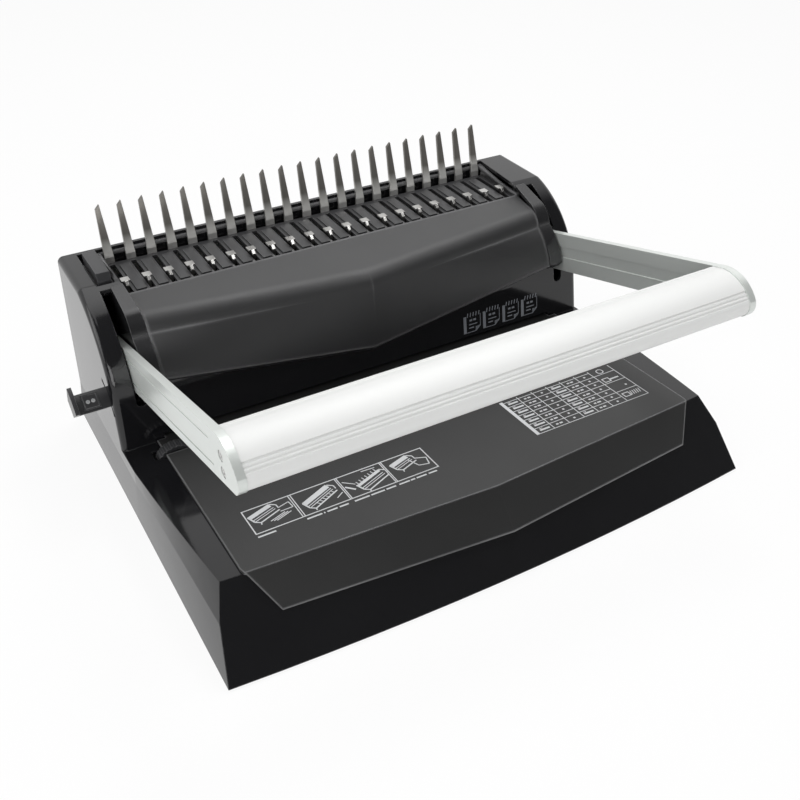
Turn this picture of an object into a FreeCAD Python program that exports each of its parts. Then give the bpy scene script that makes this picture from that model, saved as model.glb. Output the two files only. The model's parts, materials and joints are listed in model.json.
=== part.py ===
import FreeCAD, Part
import math
import os
from FreeCAD import Vector

# Comb binding machine: a desk machine that punches 21 oblong holes along a sheet and opens
# plastic binding combs. x runs across the machine, y from front to back and z up from the
# surface that it stands on; x is 0 on the middle of the machine and y is 0 at its front
# corners. All sizes are in millimetres.

# --- comb standard ------------------------------------------------------------------------
hole_count = 21
comb_pitch = 14.2875
hole_width = 8.0
hole_depth = 3.0
hole_half = comb_pitch * (hole_count - 1) / 2.0
hole_places = [-hole_half + comb_pitch * i for i in range(hole_count)]

# --- fits: running fit, clearance between mouldings, seat of fixed pieces, cutter overrun -
fit = 0.05
gap = 0.3
touch = 0.02
spare = 1.0

# --- half widths, from the comb outwards --------------------------------------------------
tray_half = hole_half + 3.325
well_half = hole_half + 4.525
plate_inner = hole_half + 5.625
plate_thickness = 2.0
plate_outer = plate_inner + plate_thickness
throat_half = plate_inner + 1.5
hood_front_half = plate_inner - 3.0
hood_rear_half = plate_outer + 0.7
cap_outer = plate_outer + 4.9
arm_slot_inner = cap_outer + 0.1
arm_inner = arm_slot_inner + 1.1
arm_thickness = 4.6
arm_outer = arm_inner + arm_thickness
arm_slot_outer = arm_outer + 1.0
tower_top_half = arm_slot_outer + 12.0
flank_foot_half = tower_top_half + 3.2
skirt_half = flank_foot_half + 2.8
belt_front_half = tower_top_half + 0.2
rim_front_half = tower_top_half - 6.9
lever_reach = flank_foot_half + 21.6
table_half = throat_half + 5.2
table_crease_half = table_half - 1.0
table_lip_half = table_crease_half - 13.2

# --- housing ------------------------------------------------------------------------------
wall = 2.4
foot_height = 3.0
skirt_gap = 1.5
front_bow = 7.4
belt_z = 29.2
belt_front_y = 19.6
rim_z = 45.8
rim_front_y = 33.3
deck_fall = 0.056
front_wall_share = 1.25
shoulder_y = 150.0
rear_y = 276.0
tower_top_z = 125.5
tower_round = 4.0
fascia_foot_y = 171.5
fascia_top_y = 177.6
fascia_top_z = 70.0
sail_mid_y = 194.0
sail_mid_z = 104.5
sail_wall_y = 0.75
sail_wall_z = 0.66
sail_end_y = 228.0
seal_z = 79.6
plate_sheet = 1.5
floor_z = foot_height + plate_sheet
front_boss_x = plate_inner + 1.5
rear_boss_x = tower_top_half - 3.8
boss_radius = 5.0
boss_hole_depth = 14.0
boss_places = [(-front_boss_x, 46.0), (front_boss_x, 46.0), (0.0, 34.0),
               (-rear_boss_x, rear_y - 7.2), (rear_boss_x, rear_y - 7.2)]
foot_x = plate_inner - 0.5
foot_places = [(-foot_x, 70.0), (foot_x, 70.0), (-foot_x, rear_y - 24.0), (foot_x, rear_y - 24.0)]
foot_radius = 8.5
foot_taper = 1.5

# --- screws -------------------------------------------------------------------------------
base_screw_radius = 1.75
base_screw_head = 3.4
base_screw_head_height = 1.6
base_screw_hole = 2.0
screw_radius = 1.5
screw_head = 2.8
screw_head_height = 1.8
screw_length = 12.0
grip_screw_length = 16.0

# --- document table and throat ------------------------------------------------------------
table_thickness = 2.0
table_rear_y = fascia_foot_y
table_side_y = 34.4
table_crease_end_y = 30.4
table_crease_mid_y = 21.5
table_lip_end_y = 14.3
table_lip_mid_y = 2.1
table_lip_z = 27.1
apron_depth = 20.0
apron_tuck = 0.1
throat_height = 2.4

# --- hood and its end caps ----------------------------------------------------------------
hood_wall = 2.5
hood_back_y = rear_y - wall - 0.2
hood_crease_end_y = 190.6
hood_crease_mid_y = 172.4
hood_crease_z = 116.3
hood_slope = 0.0855
hood_bend_back = 9.0
hood_bend_drop = 9.5
hood_lip_end_y = 170.5
hood_lip_mid_y = 167.0
hood_lip_end_z = 84.0
hood_lip_mid_z = 62.5
hood_edge_mid_z = 57.6
hood_edge_step = 5.0
hood_swell_share = 0.62
cap_wall = 2.2
cap_slope = 0.24
cap_rise = 3.2
cap_bend_back = 8.0
cap_proud = 0.8
cap_edge_step = 3.5
cap_notch = 1.4
diagonal = 0.7
cap_lap = 5.0
slot_top_y = 222.0

# --- comb well ----------------------------------------------------------------------------
well_front_y = 219.8
well_rear_y = 271.8
well_clear = 0.15
grille_z = 116.5
grille_thickness = 2.5
grille_flange = 1.7
ledge_height = 4.0
slot_width = 3.6
slot_front_y = 222.5
slot_rear_y = 265.5
rib_width = 6.4
rib_height = 1.2
rib_front = 1.5
rib_rear = 4.0
frame_top_z = 114.0
finger_y = 268.5
finger_thickness = 2.0
finger_rear_y = finger_y + finger_thickness
finger_width = 6.2
finger_tip_width = 2.8
finger_bevel = 3.0
finger_bend_z = 120.5
finger_tip_z = 154.0
finger_lean = 14.0
finger_shift = (finger_tip_z - finger_bend_z) * math.tan(math.radians(finger_lean))
finger_strip_z = 96.0
finger_screw_gaps = [0, 4, 9, 15, 19]
rail_y = 262.7
rail_z0 = 97.0
rail_z1 = 107.0
rail_mid_z = (rail_z0 + rail_z1) / 2.0
rail_hole_y = (rail_y + finger_y) / 2.0

# --- hook plate ---------------------------------------------------------------------------
hook_rear_y = 233.0
hook_stem = 3.0
hook_plate_z = 110.0
hook_plate_depth = 17.0
hook_sheet = 2.0
hook_reach = 5.0
hook_half = 1.0
hook_lip = 1.2
hook_top_half = 2.75
hook_top_rise = 4.2
ear_reach = 1.5
ear_inset = 3.0
ear_slot_front_y = 209.5
ear_slot_rear_y = finger_y - 1.6

# --- handle -------------------------------------------------------------------------------
pivot_y = 215.0
pivot_z = 78.3
handle_angle = 15.8
handle_down = 12.0
handle_up = 65.0
arm_height = 27.5
arm_slot_foot_z = 64.0
arm_groove_start = 30.0
arm_groove_end = 186.0
arm_grooves = [(-8.6, -7.4, arm_outer - 0.6, arm_outer + spare),
               (6.0, 7.0, arm_outer - 0.4, arm_outer + spare),
               (-3.6, 4.4, arm_inner - spare, arm_inner + 0.7)]
nose_reach = 220.9
nose_flat = 21.5
nose_shoulder = 6.4
nose_chin_drop = 10.2
nose_foot = 6.9
grip_start = 192.0
grip_wall = 2.2
grip_inset = 0.5
grip_web_start = nose_reach - 20.8
grip_web_end = nose_reach - 19.2
grip_grooves = [(3.4, 2.0), (1.9, 0.0), (1.0, -2.0), (26.0, arm_height / 2.0)]
grip_tube_radius = 3.4
grip_groove_radius = 0.75
grip_screw_offsets = [(19.4, 2.0), (20.4, -7.0)]
shaft_radius = 5.0
square_half = 4.0
hub_screw_radius = 2.0
hub_screw_head = 6.5
hub_screw_head_height = 3.0
bush_radius = 7.0
bush_lip = 1.4
bush_flange = 9.0
bush_depth = 2.0

# --- drive --------------------------------------------------------------------------------
gear_module = 2.0
gear_teeth = 26
gear_width = 10.0
gear_first = -2
gear_last = 6
gear_hub = 7.1
hub_side = 3.0
rack_spaces = 3
pitch_radius = gear_module * gear_teeth / 2.0
rack_z = pivot_z + pitch_radius
pressure_angle = 20.0
tooth_root = 1.25
backlash = 0.16
cam_rate = 6.3
cam_rest = 13.37
cam_width = 8.0
cam_x = 4.5 * comb_pitch
cam_spare_angle = 4.0
cam_steps = 6

# --- punch --------------------------------------------------------------------------------
punch_y = 203.0
pin_entry = 2.0
pin_seat = 4.0
beam_foot_z = 58.4
beam_depth = 13.4
beam_top_z = pivot_z - cam_rest - fit
lug_x = 7.5 * comb_pitch
lug_half = 4.0
lug_height = 3.0
spring_y = 188.0
spring_radius = 3.0
spring_wire = 0.6
spring_turns = 7.0

# --- inner frame --------------------------------------------------------------------------
plate_front_y = 186.0
plate_slope_y = 10.0
plate_slope_z = 34.0
plate_nose_y = 30.0
plate_nose_z = 8.0
flange_width = 10.0
flange_screw_x = plate_outer + flange_width / 2.0 + 0.5
flange_screw_ys = [196.0, 258.0]
die_thickness = 6.0
die_rear_y = 220.0
die_screw_ys = [195.0, 215.0]
guide_plate_step = 6.0
tie_radius = 3.0
tie_places = [(188.0, 98.0), (246.0, 62.0)]

# --- depth lever and back stop ------------------------------------------------------------
lever_y = 206.0
lever_z = 48.5
lever_radius = 29.0
lever_angle = 129.3
lever_swing = 12.0
lever_half_width = 6.4
lever_sheet = 2.6
lever_stub_radius = 3.0
spoke_x0 = -tower_top_half + 2.8
spoke_spread = 6.0
paddle_half = 2.0
paddle_gap = 1.2
flange_half = 7.3
crank_radius = 7.0
crank_pin = 1.5
crank_eye = 2.6
crank_boss = 4.0
stop_y0 = 206.6
stop_y1 = 212.6
stop_clear = 0.2
stop_play = 4.0
tab_x1 = -plate_outer - 0.9
tab_x0 = tab_x1 - plate_thickness
tab_half = 4.2
slot_half = 2.2
crank_face_x = tab_x0 - 1.6
bracket_x = -plate_outer - 11.0
bracket_sheet = 2.5
bracket_half = 8.0
bracket_foot = 10.0
bracket_screw_x = bracket_x - 5.9
bracket_screw_step = 5.0

# --- edge guide and its thumb wheel -------------------------------------------------------
wheel_x = -table_half + 6.8
wheel_z = 30.5
wheel_radius = 13.0
wheel_y0 = 155.0
wheel_y1 = 162.0
wheel_ribs = 24
wheel_groove = 1.0
wheel_rim = 2.6
wheel_dish = 1.2
wheel_side = 0.8
wheel_end = 1.4
spindle_radius = 2.0
hanger_sheet = 2.5
hanger_half = 4.5
wall_round = 2.0
guide_crank = 6.0
guide_swing = 25.0
guide_travel = guide_crank * math.radians(guide_swing)
guide_pin = 1.5
guide_web = 2.0
guide_bar_half = 21.0
guide_bar_y0 = 173.0
guide_bar_y1 = 176.0
guide_bar_z0 = 19.6
guide_bar_z1 = 22.1
guide_arm_height = 2.6
guide_x0 = -throat_half + 3.5
guide_x1 = guide_x0 + 2.5
guide_y0 = 177.5
guide_y1 = 183.0

# --- comb size slider and chip tray -------------------------------------------------------
slider_x1 = -plate_outer - 2.1
slider_x0 = slider_x1 - 8.4
slider_y0 = 228.0
slider_length = 34.0
slider_height = 6.0
slider_foot = 3.0
slider_foot_lap = 4.0
slider_side = 1.5
tray_height = 26.0
tray_wall = 1.8
tray_front_y = 182.0
tray_back_y = rear_y - 0.4
pull_half = 28.0
pull_reach = 3.0
pull_height = 3.0
pull_drop = 2.0
tray_back_wall = 2.6

# --- worked out from the sizes above ------------------------------------------------------
deck_front_y = rim_front_y - front_bow
sheet_z = rim_z - deck_fall * (plate_front_y - deck_front_y) + table_thickness
guide_plate_z = sheet_z + throat_height
rim_share = (rim_z - belt_z) / (tower_top_z - belt_z)
rim_side_half = flank_foot_half + (tower_top_half - flank_foot_half) * rim_share
tower_under_z = tower_top_z - wall
centre_x = (skirt_half - lever_reach) / 2.0
centre_y = (finger_rear_y + finger_shift - front_bow) / 2.0


# --- small shape tools --------------------------------------------------------------------
def box(x0, x1, y0, y1, z0, z1):
    return Part.makeBox(x1 - x0, y1 - y0, z1 - z0, Vector(x0, y0, z0))


def rod_x(x0, x1, y, z, radius):
    return Part.makeCylinder(radius, x1 - x0, Vector(x0, y, z), Vector(1, 0, 0))


def rod_y(x, y0, y1, z, radius):
    return Part.makeCylinder(radius, y1 - y0, Vector(x, y0, z), Vector(0, 1, 0))


def rod_z(x, y, z0, z1, radius):
    return Part.makeCylinder(radius, z1 - z0, Vector(x, y, z0), Vector(0, 0, 1))


def polygon(points):
    return Part.makePolygon([Vector(*p) for p in points + [points[0]]])


def side_prism(outline, x0, x1):
    """Extrude a closed outline of (y, z) points across the machine."""
    face = Part.Face(polygon([(x0, y, z) for y, z in outline]))
    return face.extrude(Vector(x1 - x0, 0, 0))


def plan_prism(outline, z0, z1):
    """Extrude a closed outline of (x, y) points upwards."""
    face = Part.Face(polygon([(x, y, z0) for x, y in outline]))
    return face.extrude(Vector(0, 0, z1 - z0))


def side_arc(x, start, middle, end):
    return Part.Arc(Vector(x, *start), Vector(x, *middle), Vector(x, *end)).toShape()


def side_line(x, start, end):
    return Part.makeLine(Vector(x, *start), Vector(x, *end))


def extrude_edges(edges, x0, x1):
    face = Part.Face(Part.Wire(edges))
    return face.extrude(Vector(x1 - x0, 0, 0))


def mirrored(shape):
    return shape.mirror(Vector(0, 0, 0), Vector(1, 0, 0))


def fused(shapes):
    return shapes[0].multiFuse(shapes[1:]).removeSplitter()


def cut_all(shape, cutters):
    return shape.cut(cutters[0].multiFuse(cutters[1:]))


def both_sides(pieces):
    return Part.makeCompound(pieces + [mirrored(p) for p in pieces])


def between(a, b, share):
    return a + (b - a) * share


def lever_point(radius, degrees):
    """Point (y, z) about the depth lever's axis, at an angle measured from the back."""
    a = math.radians(degrees)
    return (lever_y + radius * math.cos(a), lever_z + radius * math.sin(a))


def lever_sector(x0, x1, radius, half_thickness, half_angle):
    """Part of a ring about the depth lever's axis."""
    inner = radius - half_thickness
    outer = radius + half_thickness
    start = lever_angle - half_angle
    end = lever_angle + half_angle
    out0, out1, out2 = [lever_point(outer, a) for a in (start, lever_angle, end)]
    in0, in1, in2 = [lever_point(inner, a) for a in (start, lever_angle, end)]
    edges = [side_arc(x0, out0, out1, out2), side_line(x0, out2, in2),
             side_arc(x0, in2, in1, in0), side_line(x0, in0, out0)]
    return extrude_edges(edges, x0, x1)


# --- toothed parts ------------------------------------------------------------------------
def wheel_tooth(module, teeth, centre_angle, x0, x1):
    """One involute tooth of a wheel about the x axis, leaning forwards from straight up."""
    pressure = math.radians(pressure_angle)
    pitch = module * teeth / 2.0
    base = pitch * math.cos(pressure)
    root = pitch - tooth_root * module
    tip = pitch + module
    half = math.pi / (2.0 * teeth) - backlash / (2.0 * pitch)

    def half_angle(radius):
        roll = math.acos(min(1.0, base / radius))
        return half - (math.tan(roll) - roll) + (math.tan(pressure) - pressure)

    def place(radius, angle):
        a = centre_angle + angle
        return (-radius * math.sin(a), radius * math.cos(a))
    flank = [(r, half_angle(r)) for r in (base, pitch, tip)]
    rise = [place(r, -a) for r, a in flank]
    fall = [place(r, a) for r, a in reversed(flank)]
    sunk = root - module / 4.0
    foot0 = place(sunk, -flank[0][1])
    foot1 = place(sunk, flank[0][1])
    edges = [side_line(x0, foot0, rise[0]), side_arc(x0, *rise),
             side_line(x0, rise[2], fall[0]), side_arc(x0, *fall),
             side_line(x0, fall[2], foot1), side_line(x0, foot1, foot0)]
    return extrude_edges(edges, x0, x1)


def rack_line(module, middle, line, spaces):
    """Outline of a rack's downward teeth, front to back, with a tooth space at its middle."""
    pitch = math.pi * module
    slope = math.tan(math.radians(pressure_angle))
    half = pitch / 4.0 - backlash / 2.0
    tip = 0.9 * module
    root = tooth_root * module
    outline = []
    for i in range(-spaces, spaces):
        centre = middle + pitch * (i + 0.5)
        outline += [(centre - half - root * slope, line + root),
                    (centre - half + tip * slope, line - tip),
                    (centre + half - tip * slope, line - tip),
                    (centre + half + root * slope, line + root)]
    return outline


# --- housing ------------------------------------------------------------------------------
def base_level(z):
    """Front half width, front edge and side half width of the base at one height."""
    edge = (skirt_half, 0.0, skirt_half)
    belt = (belt_front_half, belt_front_y, flank_foot_half)
    rim = (rim_front_half, rim_front_y, rim_side_half)
    if z <= belt_z:
        share = max(0.0, (z - skirt_gap) / (belt_z - skirt_gap))
        return [between(a, b, share) for a, b in zip(edge, belt)]
    share = (z - belt_z) / (rim_z - belt_z)
    return [between(a, b, share) for a, b in zip(belt, rim)]


def base_outline(z, inset):
    """Closed plan outline of the base: bowed front, tapering sides and straight back."""
    front_half, front_y, side_half = base_level(z)
    front_half -= inset
    side_half -= inset
    front_y += inset * front_wall_share
    back = rear_y - inset
    corners = [Vector(-front_half, front_y, z), Vector(front_half, front_y, z),
               Vector(side_half, shoulder_y, z), Vector(side_half, back, z),
               Vector(-side_half, back, z), Vector(-side_half, shoulder_y, z)]
    bow = Part.Arc(corners[0], Vector(0, front_y - front_bow, z), corners[1]).toShape()
    rest = [Part.makeLine(corners[i], corners[(i + 1) % 6]) for i in range(1, 6)]
    return Part.Wire([bow] + rest)


def base_block(z0, z1, inset):
    heights = [z0] + [belt_z] * (z0 < belt_z < z1) + [z1]
    return Part.makeLoft([base_outline(z, inset) for z in heights], True, True)


def deck_z(y):
    """Level of the deck, which falls from the front rim to the throat."""
    return rim_z - deck_fall * (y - deck_front_y)


def deck_layer(low, high):
    """Slab parallel to the deck, between two heights over it, as far as the die plate."""
    rear = plate_front_y
    outline = [(0.0, deck_z(0.0) + low), (rear, deck_z(rear) + low),
               (rear, deck_z(rear) + high), (0.0, deck_z(0.0) + high)]
    return side_prism(outline, -skirt_half, skirt_half)


def deck_block(z0, inset):
    """Base with its sloping deck, or the room inside it when an inset is given."""
    return base_block(z0, rim_z - inset, inset).cut(deck_layer(-inset, fascia_top_z))


def tower_block(inset, rounding):
    """Towers and fascia as one block: a leaning fascia that curves over into a flat top."""
    x0 = -flank_foot_half
    foot = (fascia_foot_y + inset, belt_z)
    knee = (fascia_top_y + inset, fascia_top_z)
    middle = (sail_mid_y + inset * sail_wall_y, sail_mid_z - inset * sail_wall_z)
    end = (sail_end_y, tower_top_z - inset)
    back_top = (rear_y - inset, tower_top_z - inset)
    back_foot = (rear_y - inset, belt_z)
    edges = [side_line(x0, foot, knee), side_arc(x0, knee, middle, end),
             side_line(x0, end, back_top), side_line(x0, back_top, back_foot),
             side_line(x0, back_foot, foot)]
    block = extrude_edges(edges, x0, -x0)
    taper = [polygon([(-h, shoulder_y, z), (h, shoulder_y, z), (h, rear_y, z), (-h, rear_y, z)])
             for h, z in ((flank_foot_half - inset, belt_z), (tower_top_half - inset, tower_top_z))]
    block = block.common(Part.makeLoft(taper, True, True))
    if not rounding:
        return block
    front = [e for e in block.Edges if on_flank(e) and e.BoundBox.YMax < rear_y - spare]
    return block.makeFillet(rounding, front + top_flank_edges(block))


def on_flank(edge):
    """True for an edge that lies on one flank of the towers and climbs above the base."""
    bounds = edge.BoundBox
    inner = min(abs(bounds.XMin), abs(bounds.XMax))
    return inner > tower_top_half - spare and bounds.ZMax > belt_z + spare


def top_flank_edges(block):
    return [e for e in block.Edges if on_flank(e) and e.BoundBox.ZMin > tower_top_z - spare
            and e.BoundBox.YMax > rear_y - spare and e.BoundBox.YLength > spare]


def hood_plan():
    """Plan outline of the hood, widening from its front to the back of the comb well."""
    return [(-hood_front_half, shoulder_y), (hood_front_half, shoulder_y),
            (hood_front_half, hood_crease_end_y), (hood_rear_half, hood_back_y),
            (-hood_rear_half, hood_back_y), (-hood_front_half, hood_crease_end_y)]


def arm_slot():
    """Slot that lets the right handle arm swing: open to the hood and round at its foot."""
    radius = (arm_slot_outer - arm_slot_inner) / 2.0
    middle = arm_slot_inner + radius
    channel = box(arm_slot_inner, arm_slot_outer, shoulder_y, slot_top_y,
                  arm_slot_foot_z + radius, tower_top_z + spare)
    return channel.fuse(rod_y(middle, shoulder_y, slot_top_y, arm_slot_foot_z + radius, radius))


def wheel_hangers():
    """Two tabs under the deck that carry the thumb wheel's spindle."""
    tabs = []
    for y in (wheel_y0 - hanger_sheet - 3.0, wheel_y1 + 3.0):
        tab = box(wheel_x - hanger_half, wheel_x + hanger_half, y, y + hanger_sheet,
                  wheel_z - hanger_half, deck_z(y + hanger_sheet) - spare)
        tabs.append(tab.cut(rod_y(wheel_x, y - spare, y + hanger_sheet + spare, wheel_z,
                                  spindle_radius + fit)))
    return tabs


def guide_hangers():
    """Two tabs under the deck with a window that the edge guide's bar slides through."""
    tabs = []
    back = guide_bar_y1 + wall_round
    for x in (wheel_x - hanger_sheet - 12.0, wheel_x + 12.0):
        tab = box(x, x + hanger_sheet, guide_bar_y0 - wall_round, back,
                  guide_bar_z0 - wall_round, deck_z(back) - spare)
        window = box(x - spare, x + hanger_sheet + spare, guide_bar_y0 - fit,
                     guide_bar_y1 + fit, guide_bar_z0 - fit, guide_bar_z1 + fit)
        tabs.append(tab.cut(window))
    return tabs


def housing_cuts():
    cuts = [plan_prism(hood_plan(), seal_z, tower_top_z + spare)]
    cuts.append(box(-arm_slot_inner, arm_slot_inner, shoulder_y, slot_top_y,
                    seal_z, tower_top_z + spare))
    cuts += [arm_slot(), mirrored(arm_slot())]
    mouth = box(-throat_half, throat_half, fascia_foot_y - spare, fascia_top_y + wall,
                0.0, fascia_top_z)
    cuts.append(mouth.common(deck_layer(0.0, table_thickness + throat_height)))
    side = tray_half + gap * 2.0
    cuts.append(box(-side, side, rear_y - wall - spare, rear_y + spare,
                    floor_z, floor_z + gap + tray_height + gap * 2.0))
    cuts.append(wheel_opening())
    cuts.append(box(slider_x0 - slider_side, slider_x1 + slider_side, slider_y0 - slider_side,
                    rear_y - wall - spare, tower_under_z - spare, tower_top_z + spare))
    reach = math.degrees(math.asin(lever_half_width / lever_radius)) + lever_swing + 1.5
    cuts.append(lever_sector(-flank_foot_half - 5.0, -tower_top_half + wall + 5.0,
                             lever_radius, spare + gap, reach))
    for x, y in boss_places:
        cuts.append(rod_z(x, y, floor_z - spare, floor_z + boss_hole_depth,
                          base_screw_radius + fit))
    return cuts


def wheel_opening():
    """Opening for the thumb wheel, right through the deck and the table over it."""
    half = wheel_radius + wheel_side
    return box(wheel_x - half, wheel_x + half, wheel_y0 - wheel_end, wheel_y1 + wheel_end,
               deck_z(wheel_y1) - wall - spare, rim_z + spare)


def main_housing():
    outer = deck_block(skirt_gap, 0.0).fuse(tower_block(0.0, tower_round))
    cavity = deck_block(skirt_gap - spare / 2.0, wall).fuse(tower_block(wall, 0.0))
    shell = outer.cut(cavity)
    shelf_z = tower_under_z - slider_foot - gap
    shelf = box(-tower_top_half + spare, slider_x1 + 2.0 * gap, slider_y0 - slider_side,
                rear_y - spare, shelf_z - wall, shelf_z)
    bosses = [rod_z(x, y, floor_z, deck_z(y) - spare, boss_radius) for x, y in boss_places]
    shell = fused([shell, shelf] + bosses + wheel_hangers() + guide_hangers())
    return cut_all(shell, housing_cuts())


def frame_screw_places():
    """Places on the bottom plate of the small screws that hold the inner frame."""
    places = [(side * flange_screw_x, y) for side in (-1, 1) for y in flange_screw_ys]
    return places + [(bracket_screw_x, lever_y - bracket_screw_step),
                     (bracket_screw_x, lever_y + bracket_screw_step)]


def bottom_plate():
    outline = base_outline(floor_z, wall + gap)
    plate = Part.Face(outline).extrude(Vector(0, 0, -plate_sheet))
    holes = [rod_z(x, y, 0.0, floor_z + spare, base_screw_hole) for x, y in boss_places]
    holes += [rod_z(x, y, 0.0, floor_z + spare, screw_radius + touch)
              for x, y in frame_screw_places()]
    return cut_all(plate, holes)


def rubber_feet():
    return Part.makeCompound([Part.makeCone(foot_radius - foot_taper, foot_radius, foot_height,
                                            Vector(x, y, 0), Vector(0, 0, 1))
                              for x, y in foot_places])


def base_screws():
    """Screws that hold the housing down on its bottom plate, one in each boss."""
    screws = []
    for x, y in boss_places:
        head = rod_z(x, y, foot_height - base_screw_head_height, foot_height, base_screw_head)
        stem = rod_z(x, y, foot_height, floor_z + screw_length, base_screw_radius)
        screws.append(head.fuse(stem))
    return Part.makeCompound(screws)


def frame_screws():
    """Short screws that hold the side plates and the lever bracket on the bottom plate."""
    screws = []
    top = floor_z + plate_thickness
    for x, y in frame_screw_places():
        head = rod_z(x, y, top, top + screw_head_height, screw_head)
        screws.append(head.fuse(rod_z(x, y, foot_height, top, screw_radius)))
    return Part.makeCompound(screws)


# --- table --------------------------------------------------------------------------------
def apron_section(x_top, y_top, x_lip, y_lip):
    """Slice of the apron: its sloping face in front and a back tucked in under the table."""
    top = (x_top, y_top, deck_z(y_top) + table_thickness)
    lip = (x_lip, y_lip, table_lip_z)
    x, y, z = [between(a, b, apron_tuck) for a, b in zip(top, lip)]
    return polygon([top, lip, (x_lip, y_lip + apron_depth, table_lip_z), (x, y + apron_depth, z)])


def table_plate():
    """Document table on the deck, with a chevron front that folds down over the base."""
    tongue = throat_half - gap
    rear = plate_front_y - gap
    right = [(table_crease_half, table_crease_end_y), (table_half, table_side_y),
             (table_half, table_rear_y), (tongue, table_rear_y), (tongue, rear)]
    left = [(-x, y) for x, y in reversed(right)]
    outline = plan_prism([(0.0, table_crease_mid_y)] + right + left, 0.0, fascia_top_z)
    top = outline.common(deck_layer(0.0, table_thickness))
    sections = [apron_section(-table_crease_half, table_crease_end_y, -table_lip_half,
                              table_lip_end_y),
                apron_section(0.0, table_crease_mid_y, 0.0, table_lip_mid_y),
                apron_section(table_crease_half, table_crease_end_y, table_lip_half,
                              table_lip_end_y)]
    apron = Part.makeLoft(sections, True, True)
    plate = top.fuse(apron).removeSplitter().cut(deck_block(skirt_gap, 0.0))
    notch = box(-throat_half, guide_x1 + guide_travel + spare, guide_y0 - 2.0 * gap,
                guide_y1 + 2.0 * gap, sheet_z - wall - spare, sheet_z + 2.0 * spare)
    return plate.cut(notch).cut(wheel_opening())


# --- hood and end caps --------------------------------------------------------------------
def hood_section(x, share, inset, back, foot_rise):
    """Side section of the hood. share is 0 at its ends and 1 at its middle."""
    crease_y = between(hood_crease_end_y, hood_crease_mid_y, share)
    crease_z = hood_crease_z - (hood_crease_end_y - crease_y) * hood_slope
    lip = (between(hood_lip_end_y, hood_lip_mid_y, share) + inset,
           between(hood_lip_end_z, hood_lip_mid_z, share) + max(0.0, foot_rise))
    edge = (lip[0] + hood_edge_step, between(seal_z, hood_edge_mid_z, share) + foot_rise)
    top = (back, crease_z + (back - crease_y) * hood_slope - inset)
    bend_top = (crease_y + hood_bend_back, crease_z + hood_bend_back * hood_slope - inset)
    bend_mid = (crease_y + 1.4 + inset * diagonal, crease_z - 2.6 - inset * diagonal)
    bend_low = (crease_y - 2.2 + inset, crease_z - hood_bend_drop)
    swell = (between(bend_low[0], lip[0], hood_swell_share) - between(1.2, 0.4, share),
             between(bend_low[1], lip[1], 0.5))
    foot = (back, edge[1])
    return Part.Wire([side_line(x, top, bend_top), side_arc(x, bend_top, bend_mid, bend_low),
                      side_arc(x, bend_low, swell, lip), side_line(x, lip, edge),
                      side_line(x, edge, foot), side_line(x, foot, top)])


def hood_block(inset, back, foot_rise):
    half = hood_rear_half + spare
    stations = ((-half, 0.0), (0.0, 1.0), (half, 0.0))
    wires = [hood_section(x, share, inset, back, foot_rise) for x, share in stations]
    return Part.makeLoft(wires, True, True)


def hood():
    """Chevron hood over the punches, open below and behind, with a window for the combs."""
    back = hood_back_y
    past = back + hood_wall * 2.0
    skin = hood_block(0.0, back, 0.0).cut(hood_block(hood_wall, past, hood_wall))
    inside = hood_block(hood_wall, past, -hood_wall * 2.0)
    skin = skin.cut(inside.common(tower_block(-gap / 3.0, 0.0)))
    skin = skin.common(plan_prism(hood_plan(), 0.0, tower_top_z))
    window = box(-well_half, well_half, well_front_y, well_rear_y, frame_top_z, tower_top_z)
    skin = skin.cut(window)
    ledge_z = frame_top_z + grille_flange
    ledge = box(well_half, plate_outer, well_front_y, finger_y - spare, ledge_z,
                ledge_z + ledge_height)
    return fused([skin, ledge, mirrored(ledge)])


def cap_section(x, inset, back, foot_z):
    """Side section of an end cap, standing a little proud of the hood beside it."""
    top = (back, tower_top_z - inset - (slot_top_y - back) * cap_slope)
    bend_top = (hood_crease_end_y + cap_bend_back, hood_crease_z + cap_rise - inset)
    bend_mid = (hood_crease_end_y + 1.2 + inset * diagonal,
                hood_crease_z - cap_rise / 2.0 - inset * diagonal)
    bend_low = (hood_crease_end_y - 3.0 + inset, hood_crease_z - hood_bend_drop)
    lip = (hood_lip_end_y - cap_proud + inset, max(hood_lip_end_z, foot_z + spare))
    swell = (between(bend_low[0], lip[0], hood_swell_share) - 1.2,
             between(bend_low[1], lip[1], 0.5))
    edge = (lip[0] + cap_edge_step, foot_z)
    foot = (back, foot_z)
    return [side_line(x, top, bend_top), side_arc(x, bend_top, bend_mid, bend_low),
            side_arc(x, bend_low, swell, lip), side_line(x, lip, edge),
            side_line(x, edge, foot), side_line(x, foot, top)]


def hood_end_cap():
    """Right end cap: closes the hood's end and guides the handle arm beside it."""
    x0 = hood_front_half - cap_lap
    x1 = cap_outer - cap_wall
    past = slot_top_y + cap_lap
    block = extrude_edges(cap_section(x0, 0.0, slot_top_y - gap, seal_z), x0, cap_outer)
    room = extrude_edges(cap_section(x0, wall, past, seal_z + wall), x0, x1)
    below = extrude_edges(cap_section(x0, wall, past, seal_z - cap_lap), x0, x1)
    notch = rod_x(x0, cap_outer + spare, pivot_y, pivot_z, shaft_radius + cap_notch)
    cap = block.cut(room).cut(below.common(tower_block(-gap / 3.0, 0.0))).cut(notch)
    return cap.cut(plan_prism(hood_plan(), 0.0, tower_top_z + spare))


# --- comb well ----------------------------------------------------------------------------
def grille_slot(x, z0, z1):
    radius = slot_width / 2.0
    slot = box(x - radius, x + radius, slot_front_y + radius, slot_rear_y, z0, z1)
    return slot.fuse(rod_z(x, slot_front_y + radius, z0, z1, radius))


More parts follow.
